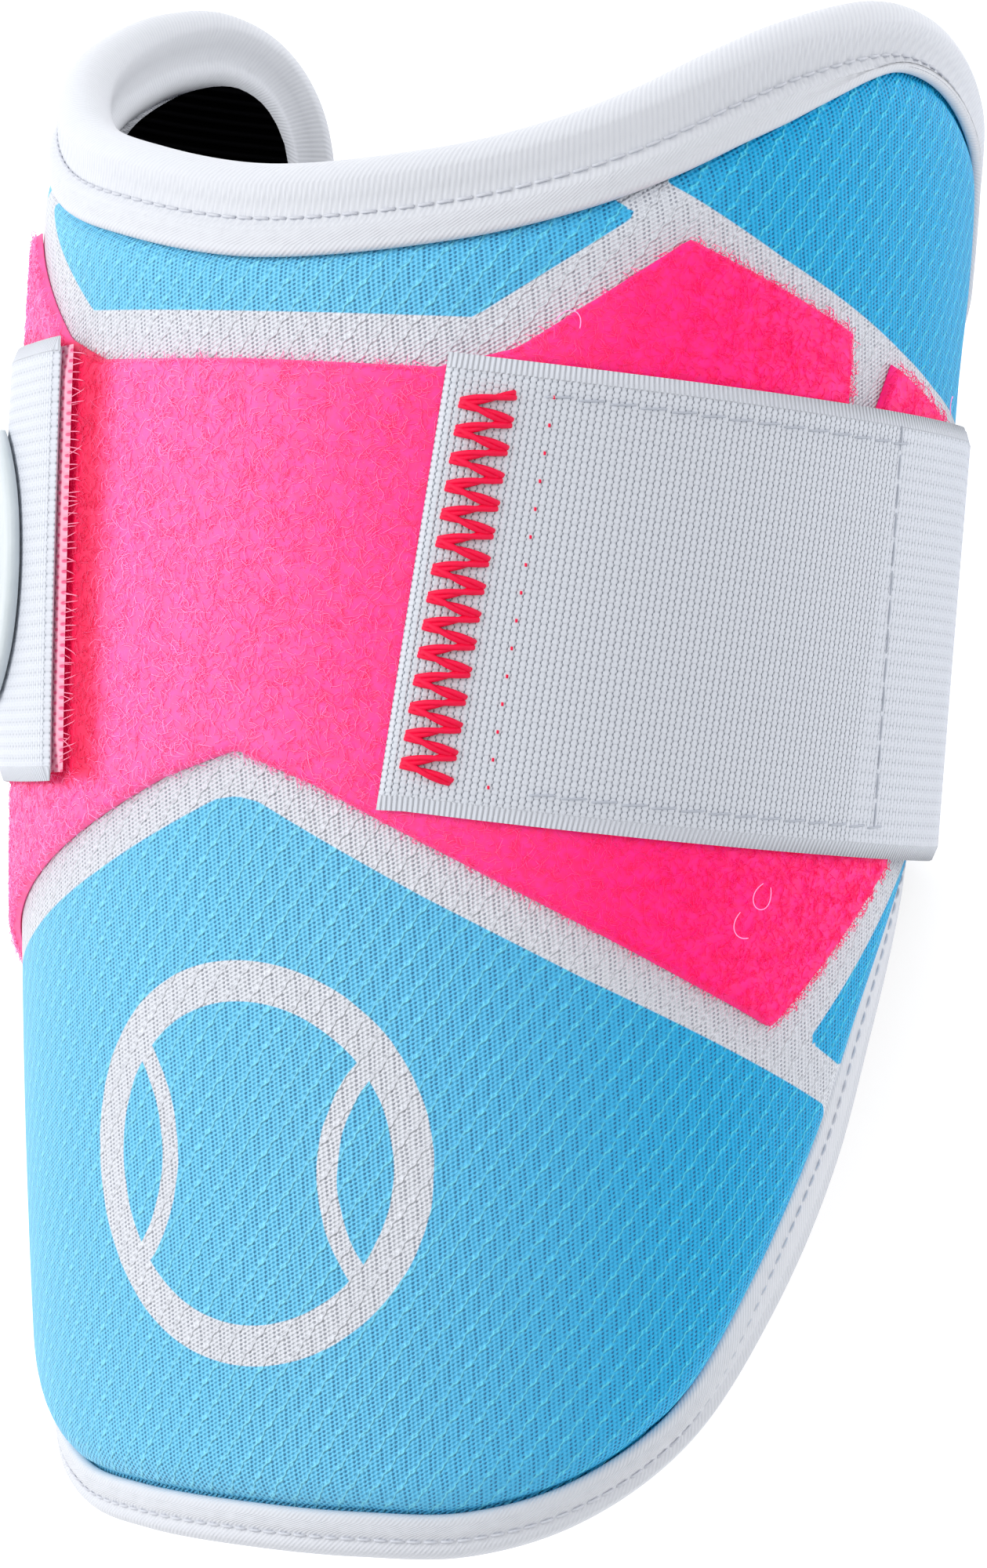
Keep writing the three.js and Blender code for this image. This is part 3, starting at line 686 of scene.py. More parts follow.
def tube_faces(tubes, rings, sides, cap):
    """Triangles of closed tubes whose points run tube by tube, ring by ring and side by side."""
    ring, side = np.meshgrid(np.arange(rings - 1), np.arange(sides), indexing="ij")
    a = (ring * sides + side).ravel()
    b = (ring * sides + (side + 1) % sides).ravel()
    walls = np.concatenate([np.stack([a, b, b + sides], -1), np.stack([a, b + sides, a + sides], -1)])
    ends = np.concatenate([cap[:, ::-1], cap + (rings - 1) * sides])
    one = np.concatenate([walls, ends])
    return (one + np.arange(tubes)[:, None, None] * rings * sides).reshape(-1, 3)


def fan(sides):
    """Cap triangles of a convex ring."""
    far = np.arange(2, sides)
    return np.column_stack([np.zeros_like(far), far - 1, far])


def trim_sweep(start, end):
    """The trims' section carried along the edge between two shares of its length. It goes over from the
    binding's section to the roll's with the place along the arm, the hem changes its width on the wings,
    and the groove is drawn in at each needle hole."""
    forms = [(0, 0), (1, 0), (0, HEM_SPREAD), (1, -HEM_TAPER)]
    thin, thick, wide, narrow = (smooth_loop(trim_corners(*form), SECTION_STEPS) for form in forms)
    share = np.linspace(start, end, int((end - start) * EDGE_LENGTH / TRIM_RING_STEP))
    edge = along_edge(share, np.float64(0))
    roll = roll_share(edge[:, 1])[:, None, None]
    change = (wide - thin) * (1 - roll) + (narrow - thick) * roll
    section = thin + (thick - thin) * roll + change * taper_share(edge)[:, None, None]
    groove = SECTION_STEPS * GROOVE_CORNER
    needle = np.cos(2 * np.pi * share * EDGE_LENGTH / STITCH_PITCH) ** 2
    pucker = PUCKER * needle * between(PUCKER_SHARES, roll[:, 0, 0])
    section[:, groove - 1 : groove + 2, 1] -= pucker[:, None]
    flat = along_edge(share[:, None], section[..., 0])
    points = on_skin(flat, section[..., 1]).reshape(-1, 3)
    contour = [Vector((x, y, 0)) for x, y in section[0]]
    cap = np.array(tessellate_polygon([contour]))
    girth = np.linalg.norm(np.diff(section[0], axis=0, prepend=section[0][:1]), axis=1).cumsum()
    cloth = np.stack(np.broadcast_arrays(share[:, None] * EDGE_LENGTH, girth), -1).reshape(-1, 2)
    return points, tube_faces(1, len(share), len(contour), cap), cloth


def thread_tubes(paths, radius, sides):
    """Tubes round many flat paths at once, as arc, along and lift. Each ring stands across its path's
    heading, on the side vector and the lift."""
    heading = np.gradient(paths[..., :2], axis=1)
    heading /= np.linalg.norm(heading, axis=-1, keepdims=True)
    sideways = np.stack([-heading[..., 1], heading[..., 0], np.zeros(heading.shape[:-1])], -1)
    angle = 2 * np.pi * np.arange(sides) / sides
    around = (np.cos(angle)[:, None] * sideways[..., None, :]
              + np.sin(angle)[:, None] * np.array([0, 0, 1.0]))
    points = paths[..., None, :] + np.broadcast_to(radius, paths.shape[:2])[..., None, None] * around
    return points.reshape(-1, 3), tube_faces(len(paths), paths.shape[1], sides, fan(sides))


def stitch_paths(starts, ends, foot, rise):
    """Paths of short stitches that come up through the cloth, lie on it and go down again."""
    share = np.linspace(0, 1, STITCH_POINTS)[:, None]
    flat = starts[:, None] + (ends - starts)[:, None] * share
    lift = foot[:, None] + rise * (np.sin(np.pi * share[:, 0]) ** 0.5 * (1 + STITCH_DIP) - STITCH_DIP)
    return np.concatenate([flat, lift[..., None]], -1)


def share_at(along, low, high):
    """Share of the edge's length between two shares where it passes a place along the arm."""
    share = np.linspace(low, high, 4000)
    return share[np.abs(along_edge(share, np.float64(0))[:, 1] - along).argmin()]


jersey = Finish("white_jersey", 0.6)
around, over = jersey.places("cloth")
twill = jersey.maths("SINE", jersey.times(jersey.plus(around, over),
                                          2 * np.pi / TWILL_PITCH / np.sqrt(2)))
uneven = jersey.noise(0.0011)
twill = jersey.times(twill, uneven)
jersey.colour(jersey.mixed(jersey.smooth(twill, -0.6, 0.3), JERSEY_SHADE, JERSEY_WHITE))
jersey.relief(twill, 0.000035)

RIGHT_SPLIT = share_at(ROLL_START, 0.02, 0.33)
LEFT_SPLIT = share_at(ROLL_START, 0.67, 0.98)
SPLIT_GAP = CLEARANCE / 2 / EDGE_LENGTH
points, faces, cloth = trim_sweep(RIGHT_SPLIT + SPLIT_GAP, LEFT_SPLIT - SPLIT_GAP)
rim = make_piece("rim_cloth", points, faces, jersey, "trim_fabric", ["rim_roll"], cloth)
points, faces, cloth = trim_sweep(LEFT_SPLIT - 1 + SPLIT_GAP, RIGHT_SPLIT - SPLIT_GAP)
make_piece("binding_cloth", points, faces, jersey, "trim_fabric", ["edge_binding"], cloth)

# The thread's colour wanders at random between the jersey's white and a grey that is painted shade at the
# needle holes.
thread = Finish("white_thread", 0.55)
thread.colour(thread.mixed(thread.noise(0.0006), THREAD_SHADE_GREY, JERSEY_WHITE))
stitch_start = np.arange(0, 1, STITCH_PITCH / EDGE_LENGTH)
stitch_roll = roll_share(along_edge(stitch_start, np.float64(0))[:, 1])
stitch_inset = between((0.3 * BINDING_BULGE, 0.6 * RIM_BULGE), stitch_roll)
stitch_foot = -between(TRIM_SINK, stitch_roll) - between((BINDING_GROOVE, RIM_GROOVE), stitch_roll)
beside_hem = taper_share(along_edge(stitch_start, np.float64(0))) * (1 - stitch_roll)
stitch_inset += HEM_STITCH * beside_hem
stitch_foot += BINDING_GROOVE * beside_hem
paths = stitch_paths(along_edge(stitch_start, -stitch_inset),
                     along_edge(stitch_start + STITCH_LENGTH / EDGE_LENGTH, -stitch_inset),
                     stitch_foot, STITCH_RADIUS)
flat, faces = thread_tubes(paths, STITCH_RADIUS, 6)
make_piece("trim_stitches", on_skin(flat, flat[:, 2]), faces, thread, "trim_fabric")


# Loop panels
# Brushed pink loop pile in three panels, welded to the mesh: the base is a low felt, and thousands of
# fine curled fibres stand out of it and lie over one another.
PANEL_THICKNESS = 0.0012
FRONT_HALF = [
    (0, 0.761), (0.198, 0.759), (0.273, 0.773), (0.438, 0.847), (0.636, 0.795), (0.637, 0.73),
    (0.762, 0.445), (0.585, 0.341), (0.475, 0.373), (0.231, 0.447), (0.087, 0.49), (0, 0.51),
]
WING_PANEL = [(0.706, 0.776), (0.823, 0.744), (0.844, 0.662), (0.84, 0.57), (0.781, 0.563), (0.673, 0.731)]
FELT_HEIGHT = 0.001
FELT_UNEVEN = 0.00006
LUMP_SIZE = 0.0035
PRESSED_SHARE = 0.3
PRESS_RUN = 0.0015
FIBRE_COUNT = 28500
FIBRE_RADIUS = 0.00004
FIBRE_LENGTH = (0.0014, 0.0038)
FIBRE_RISE = (0.0001, 0.0007)
FIBRE_FOOT = 0.00093
FIBRE_POINTS = 5
FIBRE_CURL = (0.7, 0.7)
RIM_LENGTH = 0.0009
RIM_CLEAR = 0.0002
PILE_DEEP = (1.0, 0.002, 0.15, 1)
PILE_PINK = (1.0, 0.006, 0.26, 1)
# The pale pink below is painted haze, standing for the key light's sheen on the left side of the pile.
PILE_PAINTED_HAZE_PINK = (1.0, 0.45, 0.86, 1)
# Partly painted shadow: the crimson of the stripe past the strap's left end, where the raised end casts its
# shadow and its hooks have worn the pile; then the stripe's reach past the end, the softness of its sides
# and how much of the painted haze it takes out.
PILE_CRIMSON_SHADOW = (0.72, 0.0, 0.045, 1)
COMBED_SHADOW = (0.0035, 0.0095)
COMBED_SHADOW_EDGE = 0.08
COMBED_SHADOW_OUT = 0.9
# Turns over which the painted haze fades out towards the right, and its share on the felt.
HAZE_PAINT_FROM = -25
HAZE_PAINT_TURN = 85
FELT_PAINTED_HAZE = 0.26
PILE_HAZE = (1.0, 0.60, 0.92, 1)
PILE_GLOW = (1.0, 0.0, 0.12, 1)
GLOW_STRENGTH = 0.14

# The strap that presses on the pile: its width, its middle's place along the arm, how far that falls
# towards the back and by which turn, and the turns of its two ends.
STRAP_WIDTH = 0.0508
STRAP_ALONG = 0.0374
STRAP_FALL = 0.0065
STRAP_LEVEL_FROM = 150
STRAP_RIGHT_END = 21.5
STRAP_RIGHT_SLANT = 3.2
STRAP_LEFT_END = 28

# How much nearer to the rim the strap is pulled on the left, at turns right round from the front.
STRAP_LEFT_PULL = [(0, 0), (225, 0), (295, 0.0021), (332, 0.0013), (360, 0.0013)]


def eased_through(table, turn):
    """Value at a turn, eased between the listed turns."""
    turns, values = np.array(table).T
    after = np.clip(np.searchsorted(turns, turn), 1, len(turns) - 1)
    way = eased((turn - turns[after - 1]) / (turns[after] - turns[after - 1]))
    return values[after - 1] + (values[after] - values[after - 1]) * way


def strap_middle(turn):
    """Place along the arm of the strap's middle line at a turn right round from the front."""
    turn = np.asarray(turn) % 360
    side = np.minimum(turn, 360 - turn)
    way = np.clip((side - STRAP_RIGHT_END) / (STRAP_LEVEL_FROM - STRAP_RIGHT_END), 0, 1)
    return STRAP_ALONG - STRAP_FALL * np.sin(way * np.pi / 2) + eased_through(STRAP_LEFT_PULL, turn)


def across_strap(flat):
    """Share of the strap's half width at which flat places lie across it."""
    return (flat[..., 1] - strap_middle(flat[..., 0] / ARC_PER_DEGREE)) / (STRAP_WIDTH / 2)


def pressed(flat):
    """1 where the strap presses on the pile, 0 outside it, eased over its edges."""
    turn = flat[..., 0] / ARC_PER_DEGREE
    across = across_strap(flat)
    from_right = turn - STRAP_RIGHT_END - STRAP_RIGHT_SLANT * across
    from_left = -turn - STRAP_LEFT_END
    from_end = np.maximum(from_right, from_left) * ARC_PER_DEGREE
    return eased(np.minimum(from_end, (1 - np.abs(across)) * STRAP_WIDTH / 2) / PRESS_RUN)


def lumps(flat, size, seed):
    """Smooth unevenness between -1 and 1: a sum of waves in random directions of about one size."""
    chance = np.random.default_rng(seed)
    total = np.zeros(flat.shape[:-1])
    for angle, phase, stretch in chance.random((14, 3)) * (2 * np.pi, 2 * np.pi, 1) + (0, 0, 0.6):
        way = flat[..., 0] * np.cos(angle) + flat[..., 1] * np.sin(angle)
        total += np.sin(2 * np.pi * way / (size * stretch) + phase)
    return total / 5


def filled_outline(rows, step=0.002):
    """Closed outline with points set along its straight sides."""
    corners = from_shares(rows)
    sides = []
    for start, end in zip(corners, np.roll(corners, -1, 0)):
        count = max(1, int(np.linalg.norm(end - start) / step))
        sides.append(start + (end - start) * (np.arange(count) / count)[:, None])
    return np.concatenate(sides)


def felt_base(loop, columns, rows):
    """Slab whose outer face is lumpy, lies low under the strap and rounds down to the mesh at its rim."""
    flat = column_grid(loop, columns, rows)
    near = np.clip(depth_inside(flat, loop) / PANEL_THICKNESS, 0, 1)
    felt = FELT_HEIGHT + FELT_UNEVEN * lumps(flat, LUMP_SIZE, 3)
    felt *= 1 - (1 - PRESSED_SHARE) * pressed(flat)
    return skin_slab(flat, CLEARANCE + felt * np.sqrt(1 - (1 - near) ** 2), CLEARANCE / 2)


def combed_share(flat):
    """1 in the stripe just past the strap's left end, where its hooks have worn the pile and where a painted
    shadow of the raised end falls, and 0 away from it."""
    past_end = flat[..., 0] + STRAP_LEFT_END * ARC_PER_DEGREE
    beside = eased(0.5 + (1 - np.abs(across_strap(flat))) / COMBED_SHADOW_EDGE)
    return (1 - eased((past_end - COMBED_SHADOW[0]) / (COMBED_SHADOW[1] - COMBED_SHADOW[0]))) * beside


def painted_haze_share(flat):
    """Share of painted haze on the pile, standing for the key light's sheen: all on the left, none on the
    right, and little in the stripe of painted shadow past the strap's end.
    """
    turn = flat[..., 0] / ARC_PER_DEGREE
    return (1 - eased((turn - HAZE_PAINT_FROM) / HAZE_PAINT_TURN)) * (1 - COMBED_SHADOW_OUT * combed_share(flat))


pile = Finish("pink_pile", 0.5, 0.6)
pile.surface.inputs["Specular Tint"].default_value = PILE_HAZE
pile.surface.inputs["Emission Color"].default_value = PILE_GLOW
pile.surface.inputs["Emission Strength"].default_value = GLOW_STRENGTH
clumps = pile.mixed(pile.smooth(pile.noise(0.0009, 3.0), 0.3, 0.7), PILE_DEEP, PILE_PINK)
# Partly painted shadow: past the strap's left end the pile takes a crimson for its hook-worn fibres and for
# the shadow of the raised end.
clumps = pile.mixed(pile.mark("combed"), clumps, PILE_CRIMSON_SHADOW)
# Painted haze, standing for the key light's sheen: the pale pink laid on the left side's felt and fibres.
pile.colour(pile.mixed(pile.mark("tone"), clumps, PILE_PAINTED_HAZE_PINK))

front_outline = FRONT_HALF + mirrored(FRONT_HALF)[1:-1]
panels = {
    "front": (front_outline, 190, 80),
    "right": (WING_PANEL, 24, 40),
    "left": (mirrored(WING_PANEL), 24, 40),
}
for side, (rows, columns, lines) in panels.items():
    points, faces, cloth = felt_base(filled_outline(rows), columns, lines)
    make_piece(f"felt_{side}", points, faces, pile, "loop_pile", [f"loop_panel_{side}"], cloth,
               tone=FELT_PAINTED_HAZE * painted_haze_share(cloth), combed=combed_share(cloth))


# Strap
# White elastic webbing 2 inches wide that goes once round the arm. Its right end is folded and closed with
# a crimson zigzag, and a tab of hook tape is stitched under it; its left end is cut and carries the badge.
STRAP_THICKNESS = 0.0012
STRAP_REST = 0.036
STRAP_CORNER = 12
WEAVE_COLUMN = 0.00078
WEAVE_BEAD = 0.0007
WEAVE_RIB = 0.0014
SELVAGE = 0.0016
SELVAGE_RIB = 0.0006
TAB_WAY = 0.0592
ELASTIC_WHITE = (0.67, 0.70, 0.77, 1)
# The gap grey is painted shade in the pits between the beads.
ELASTIC_GAP_SHADE = (0.24, 0.27, 0.33, 1)

# Height of the strap's inner face over the skin, at turns right round from the front.
STRAP_LIE = [(0, 0.0016), (84, 0.0016), (101, 0.0014), (110, 0.0004), (250, 0.0004), (259, 0.0014),
             (276, 0.0015), (318, 0.0017), (332, 0.0026), (360, 0.0026)]


def strap_path(turn, along):
    """The strap's inner face: it follows the skin, and behind the arm it squares off to lie flat."""
    point = on_skin(np.stack([turn * ARC_PER_DEGREE, along], -1), eased_through(STRAP_LIE, turn))
    back = STRAP_REST - STRAP_THICKNESS
    below = np.maximum(-point[..., 2], 0)
    shrink = (1 + (below / (back + CLEARANCE)) ** STRAP_CORNER) ** (-1 / STRAP_CORNER)
    point[..., 0] *= shrink
    point[..., 2] = np.maximum(point[..., 2] * shrink, -back)
    return point


def strap_point(turn, across, height):
    """Point in the strap's layers: across runs from -1 to 1 over its width, height is off its inner face."""
    along = strap_middle(turn) + across * STRAP_WIDTH / 2
    turn = turn + 0 * along
    heading = strap_path(turn + 0.5, along) - strap_path(turn - 0.5, along)
    heading /= np.linalg.norm(heading, axis=-1, keepdims=True)
    off = np.stack([-heading[..., 2], 0 * along, heading[..., 0]], -1)
    return strap_path(turn, along) + off * np.asarray(height)[..., None]


def band_slab(start, end, slant, half_share, low, high, columns, rows):
    """Slab in the strap's layers between two turns, its two long edges rounded by half its thickness."""
    across = np.linspace(-1, 1, rows) ** 3 * 0.15 + np.linspace(-1, 1, rows) * 0.85
    across = (across * half_share)[:, None]
    turn = start + slant * across + (end - start - slant * across) * np.linspace(0, 1, columns)
    half = (high - low) / 2
    from_side = (half_share - np.abs(across)) * STRAP_WIDTH / 2
    from_end = np.minimum(turn - start - slant * across, end - turn) * ARC_PER_DEGREE
    near = np.clip(np.minimum(from_side, from_end) / half, 0, 1)
    swell = half * np.sqrt(1 - (1 - near) ** 2)
    across = np.broadcast_to(across, turn.shape)
    points = np.concatenate([strap_point(turn, across, low + half + swell).reshape(-1, 3),
                             strap_point(turn, across, low + half - swell).reshape(-1, 3)])
    middle = strap_point(turn[rows // 2], np.zeros(columns), np.full(columns, high))
    way = np.append(0, np.linalg.norm(np.diff(middle, axis=0), axis=1).cumsum())
    cloth = np.stack([np.broadcast_to(way, turn.shape), across * STRAP_WIDTH / 2], -1).reshape(-1, 2)
    return points, slab_faces(rows, columns), np.tile(cloth, (2, 1))


def elastic_finish():
    """Woven elastic: chains of beads across the strap with pits between them that are painted dark as shade,
    ribs along it that are low over the tab and higher past it, and close ribs over the selvages."""
    elastic = Finish("white_elastic", 0.6)
    way, across = elastic.places("cloth")
    column = elastic.maths("DIVIDE", way, WEAVE_COLUMN)
    number = elastic.maths("FLOOR", column)
    aside = elastic.maths("ABSOLUTE", elastic.minus(elastic.maths("FRACT", column), 0.5))
    bead_way = elastic.scaled(number, 0.5, elastic.maths("DIVIDE", across, WEAVE_BEAD))
    off_bead = elastic.maths("ABSOLUTE", elastic.minus(elastic.maths("FRACT", bead_way), 0.5))
    gap = elastic.times(elastic.smooth(aside, 0.22, 0.5),
                        elastic.scaled(elastic.smooth(off_bead, 0.1, 0.5), 0.75, 0.25))
    bead = elastic.falling(off_bead, 0.25, 0.6)
    rib = elastic.maths("SINE", elastic.times(across, 2 * np.pi / WEAVE_RIB))
    past_tab = elastic.smooth(way, TAB_WAY - 0.001, TAB_WAY + 0.001)
    rib = elastic.times(rib, elastic.scaled(past_tab, 0.04, 0.12))
    woven = elastic.minus(elastic.times(bead, 0.3), gap)
    woven = elastic.times(woven, elastic.scaled(past_tab, -0.5, 1.0))
    body = elastic.plus(woven, rib)
    edge_rib = elastic.maths("ABSOLUTE", elastic.maths("SINE", elastic.times(way,
                                                                             np.pi / SELVAGE_RIB)))
    from_middle = elastic.maths("ABSOLUTE", across)
    in_selvage = elastic.smooth(from_middle, STRAP_WIDTH / 2 - SELVAGE - 0.0002,
                                STRAP_WIDTH / 2 - SELVAGE)
    height = elastic.node("Mix", in_selvage, None, body, edge_rib)
    elastic.relief(height, 0.00022)
    # Painted shade: the low places of the weave take the gap grey.
    elastic.colour(elastic.mixed(elastic.smooth(height, -0.75, 0.1), ELASTIC_GAP_SHADE, ELASTIC_WHITE))
    return elastic


CUT_BACK = 0.9
STRAP_GRID = (400, 41)
strap_end = 360 - STRAP_LEFT_END - CUT_BACK
elastic = elastic_finish()
points, faces, cloth = band_slab(STRAP_RIGHT_END, strap_end, STRAP_RIGHT_SLANT, 1, 0, STRAP_THICKNESS,
                                 *STRAP_GRID)
make_piece("strap_webbing", points, faces, elastic, "strap_elastic", ["strap"], cloth)

# Crimson zigzag over the folded end
ZIGZAG_FROM_END = 0.0018
ZIGZAG_WIDTH = 0.0058
ZIGZAG_REACH = 0.85
ZIGZAG_TEETH = 14
LEG_POINTS = 22
PLY_RADIUS = 0.00033
PLY_PITCH = 0.009
THREAD_CRIMSON = (1.0, 0.0, 0.07, 1)
THREAD_DARK = (0.80, 0.0, 0.045, 1)


def make_threads(name, paths, radius, sides, finish, slot="strap_elastic", start=0, slant=0):
    """Threads on the strap from flat paths: arc after a start turn that may slant, metres across, height."""
    flat, faces = thread_tubes(paths, radius, sides)
    across = flat[:, 1] / (STRAP_WIDTH / 2)
    points = strap_point(start + slant * across + flat[:, 0] / ARC_PER_DEGREE, across, flat[:, 2])
    make_piece(name, points, faces, finish, slot)


def zigzag_legs():
    """Two-ply legs between tips that step down the strap: each ply winds round its leg's line, which rises
    from one needle hole and sinks into the next."""
    tips = 2 * ZIGZAG_TEETH + 1
    across = np.linspace(ZIGZAG_REACH, -ZIGZAG_REACH, tips) * STRAP_WIDTH / 2
    off = ZIGZAG_FROM_END + ZIGZAG_WIDTH * (np.arange(tips) % 2 == 0)
    tip = np.column_stack([off, across])
    start, end = tip[:-1, None], tip[1:, None]
    share = np.linspace(0, 1, LEG_POINTS)[:, None]
    line = start + (end - start) * share
    heading = (end - start) / np.linalg.norm(end - start, axis=-1, keepdims=True)
    sideways = np.stack([-heading[..., 1], heading[..., 0]], -1)
    length = np.linalg.norm(end - start, axis=-1)
    lift = STRAP_THICKNESS + PLY_RADIUS * (3.4 * np.sin(np.pi * share[:, 0]) ** 0.35 - 1.6)
    plies = []
    for phase in (0, np.pi):
        wind = 2 * np.pi * share[:, 0] * length / PLY_PITCH + phase
        aside = sideways * (PLY_RADIUS * 0.85 * np.cos(wind))[..., None]
        height = lift + PLY_RADIUS * 0.6 * np.sin(wind)
        plies.append(np.concatenate([line + aside, height[..., None]], -1))
    return np.concatenate(plies)


crimson = Finish("crimson_thread", 0.55)
crimson.colour(crimson.mixed(crimson.noise(0.0005), THREAD_CRIMSON, THREAD_DARK))
make_threads("zigzag_thread", zigzag_legs(), PLY_RADIUS, 7, crimson, slant=STRAP_RIGHT_SLANT,
             start=STRAP_RIGHT_END)

# Lockstitch round the hook tape's tab
TAB_TURNS = (35.4, 82.7)
TAB_ACROSS = 0.86
TAB_PITCH = 0.0033
TAB_STITCH = 0.0028
TAB_STITCH_RADIUS = 0.00013
# The tab's thread is white; its grey-blue is painted shade of the needle holes along the stitching.
TAB_THREAD_SHADE = (0.47, 0.50, 0.57, 1)
DOT_PITCH = 0.0031
DOT_LENGTH = 0.0004
DOT_BEFORE = 1.8
TAB_LEAN = 0.006


def tab_stitches():
    """Stitches end to end along the top, the foot and the far side of the tab."""
    turn = np.arange(TAB_TURNS[0], TAB_TURNS[1], TAB_PITCH / ARC_PER_DEGREE)
    step = TAB_STITCH / ARC_PER_DEGREE
    rows = [
        (np.column_stack([turn, turn * 0 + side * TAB_ACROSS - TAB_LEAN]),
         np.column_stack([turn + step, turn * 0 + side * TAB_ACROSS + TAB_LEAN]))
        for side in (-1, 1)
    ]
    across = np.arange(-TAB_ACROSS, TAB_ACROSS, TAB_PITCH * 2 / STRAP_WIDTH)
    reach = TAB_STITCH * 2 / STRAP_WIDTH
    rows.append((np.column_stack([across * 0 + TAB_TURNS[1], across]),
                 np.column_stack([across * 0 + TAB_TURNS[1] + 0.1, across + reach])))
    starts = np.concatenate([row[0] for row in rows]) * (ARC_PER_DEGREE, STRAP_WIDTH / 2)
    ends = np.concatenate([row[1] for row in rows]) * (ARC_PER_DEGREE, STRAP_WIDTH / 2)
    return stitch_paths(starts, ends, np.full(len(starts), STRAP_THICKNESS), 0.5 * TAB_STITCH_RADIUS)


# Painted shade: the tab's white thread is coloured grey-blue for the shade of its needle holes.
tab_thread = Finish("tab_thread", 0.6)
tab_thread.colour(TAB_THREAD_SHADE)
make_threads("tab_stitches", tab_stitches(), TAB_STITCH_RADIUS, 6, tab_thread)

# Crimson dots of the bobbin thread on the tab's near side
dot = np.arange(-TAB_ACROSS * STRAP_WIDTH / 2, TAB_ACROSS * STRAP_WIDTH / 2, DOT_PITCH)
dot_arc = (TAB_TURNS[0] - DOT_BEFORE + STRAP_RIGHT_SLANT * dot / (STRAP_WIDTH / 2)) * ARC_PER_DEGREE
dots = stitch_paths(np.column_stack([dot_arc, dot]), np.column_stack([dot_arc, dot + DOT_LENGTH]),
                    np.full(len(dot), STRAP_THICKNESS), 0.5 * TAB_STITCH_RADIUS)
make_threads("needle_dots", dots, TAB_STITCH_RADIUS, 6, crimson)


# Pile fibres
# The pile's own fibres: each leaves the felt at a random place, wanders as it curls, and comes down again.
# None grows where the strap presses on the panel.
def fibre_roots(count, chance):
    """Random places inside the panels, a little in from their rims."""
    outlines = [from_shares(rows) for rows, _, _ in panels.values()]
    every = np.concatenate(outlines)
    flat = every.min(0) + np.ptp(every, axis=0) * chance.random((count * 6, 2))
    depth = np.max([depth_inside(flat, outline) for outline in outlines], axis=0)
    kept = np.flatnonzero((depth > RIM_CLEAR) & (pressed(flat) < 0.5))[:count]
    return flat[kept], depth[kept]


def fibre_paths(roots, depth, chance):
    """A few points a fibre: the heading turns by a random walk, and the height is a half wave. Fibres near
    the panel's rim are short."""
    count = len(roots)
    steps = FIBRE_POINTS - 1
    length = np.minimum(chance.uniform(*FIBRE_LENGTH, count), RIM_LENGTH + 1.2 * depth)[:, None]
    curl = np.cumsum(chance.normal(*FIBRE_CURL, (count, steps)), 1)
    heading = chance.uniform(0, 2 * np.pi, count)[:, None] + curl
    step = length / steps * np.stack([np.cos(heading), np.sin(heading)], 0)
    flat = roots[:, None] + np.concatenate([np.zeros((count, 1, 2)), step.transpose(1, 2, 0).cumsum(1)], 1)
    rise = chance.uniform(*FIBRE_RISE, count)[:, None]
    share = np.linspace(0, 1, FIBRE_POINTS)
    lift = FIBRE_FOOT + rise * np.sin(np.pi * share) ** 0.7
    return np.concatenate([flat, lift[..., None]], -1)


chance = np.random.default_rng(11)
roots, depth = fibre_roots(FIBRE_COUNT, chance)
order = np.argsort(roots[:, 0])
paths = fibre_paths(roots[order], depth[order], chance)
for number, group in enumerate(np.array_split(paths, 4)):
    flat, faces = thread_tubes(group, FIBRE_RADIUS, 3)
    # Painted haze on the fibres: each is paler or less pale at random, but only on the left, where the haze
    # lies.
    tone = 0.03 + (0.35 + 0.7 * chance.random(len(group))) * painted_haze_share(group[:, 0])
    tone, combed = (np.repeat(mark, len(flat) // len(group)) for mark in (tone, combed_share(group[:, 0])))
    make_piece(f"pile_fibres_{number}", on_skin(flat, flat[:, 2]), faces, pile, "loop_pile", tone=tone,
               combed=combed)


# A few long hairs that came loose: turn, place along the arm, heading in degrees, curl in degrees and length
STRAY_HAIRS = [
    (65.8, 0.005, 200, 250, 0.0075), (62.6, 0.0018, 215, 150, 0.005), (39, 0.0655, 80, 160, 0.0045),
    (98, 0.0605, 160, 190, 0.0045),
]
STRAY_LIFT = 0.0017
STRAY_RADIUS = 0.00006

turn, along, heading, curl, length = np.array(STRAY_HAIRS).T[..., None]
share = np.linspace(0, 1, 25)
angle = np.radians(heading + curl * (share - 0.3 * np.sin(2 * np.pi * share) / np.pi))
step = length / (len(share) - 1)
hairs = np.stack([
    turn * ARC_PER_DEGREE + np.cumsum(step * np.cos(angle), 1),
    along + np.cumsum(step * np.sin(angle), 1),
    STRAY_LIFT + 0.0005 * np.sin(np.pi * share) + 0 * turn,
], -1)
flat, faces = thread_tubes(hairs, STRAY_RADIUS, 5)
# The loose hairs take the pale pink of the painted haze all over.
tone = np.ones(len(flat))
make_piece("stray_hairs", on_skin(flat, flat[:, 2]), faces, pile, "loop_pile", tone=tone)


# Hook tapes
# Pink moulded tape under both ends of the strap, with rows of small hooks that hold in the pile.
TAPE_THICKNESS = 0.0008
TAPE_GAP = 0.0001
TAPE_WIDTH = 0.04
TAPE_RIGHT_FROM = 34
TAPE_LEFT_FROM = 27.8
TAPE_TURN = 48
LEFT_TAPE_SHARE = 0.96
TAPE_PINK = (1.0, 0.42, 0.56, 1)
TAPE_DEEP = (0.80, 0.10, 0.24, 1)
TAPE_DOT = 0.0012

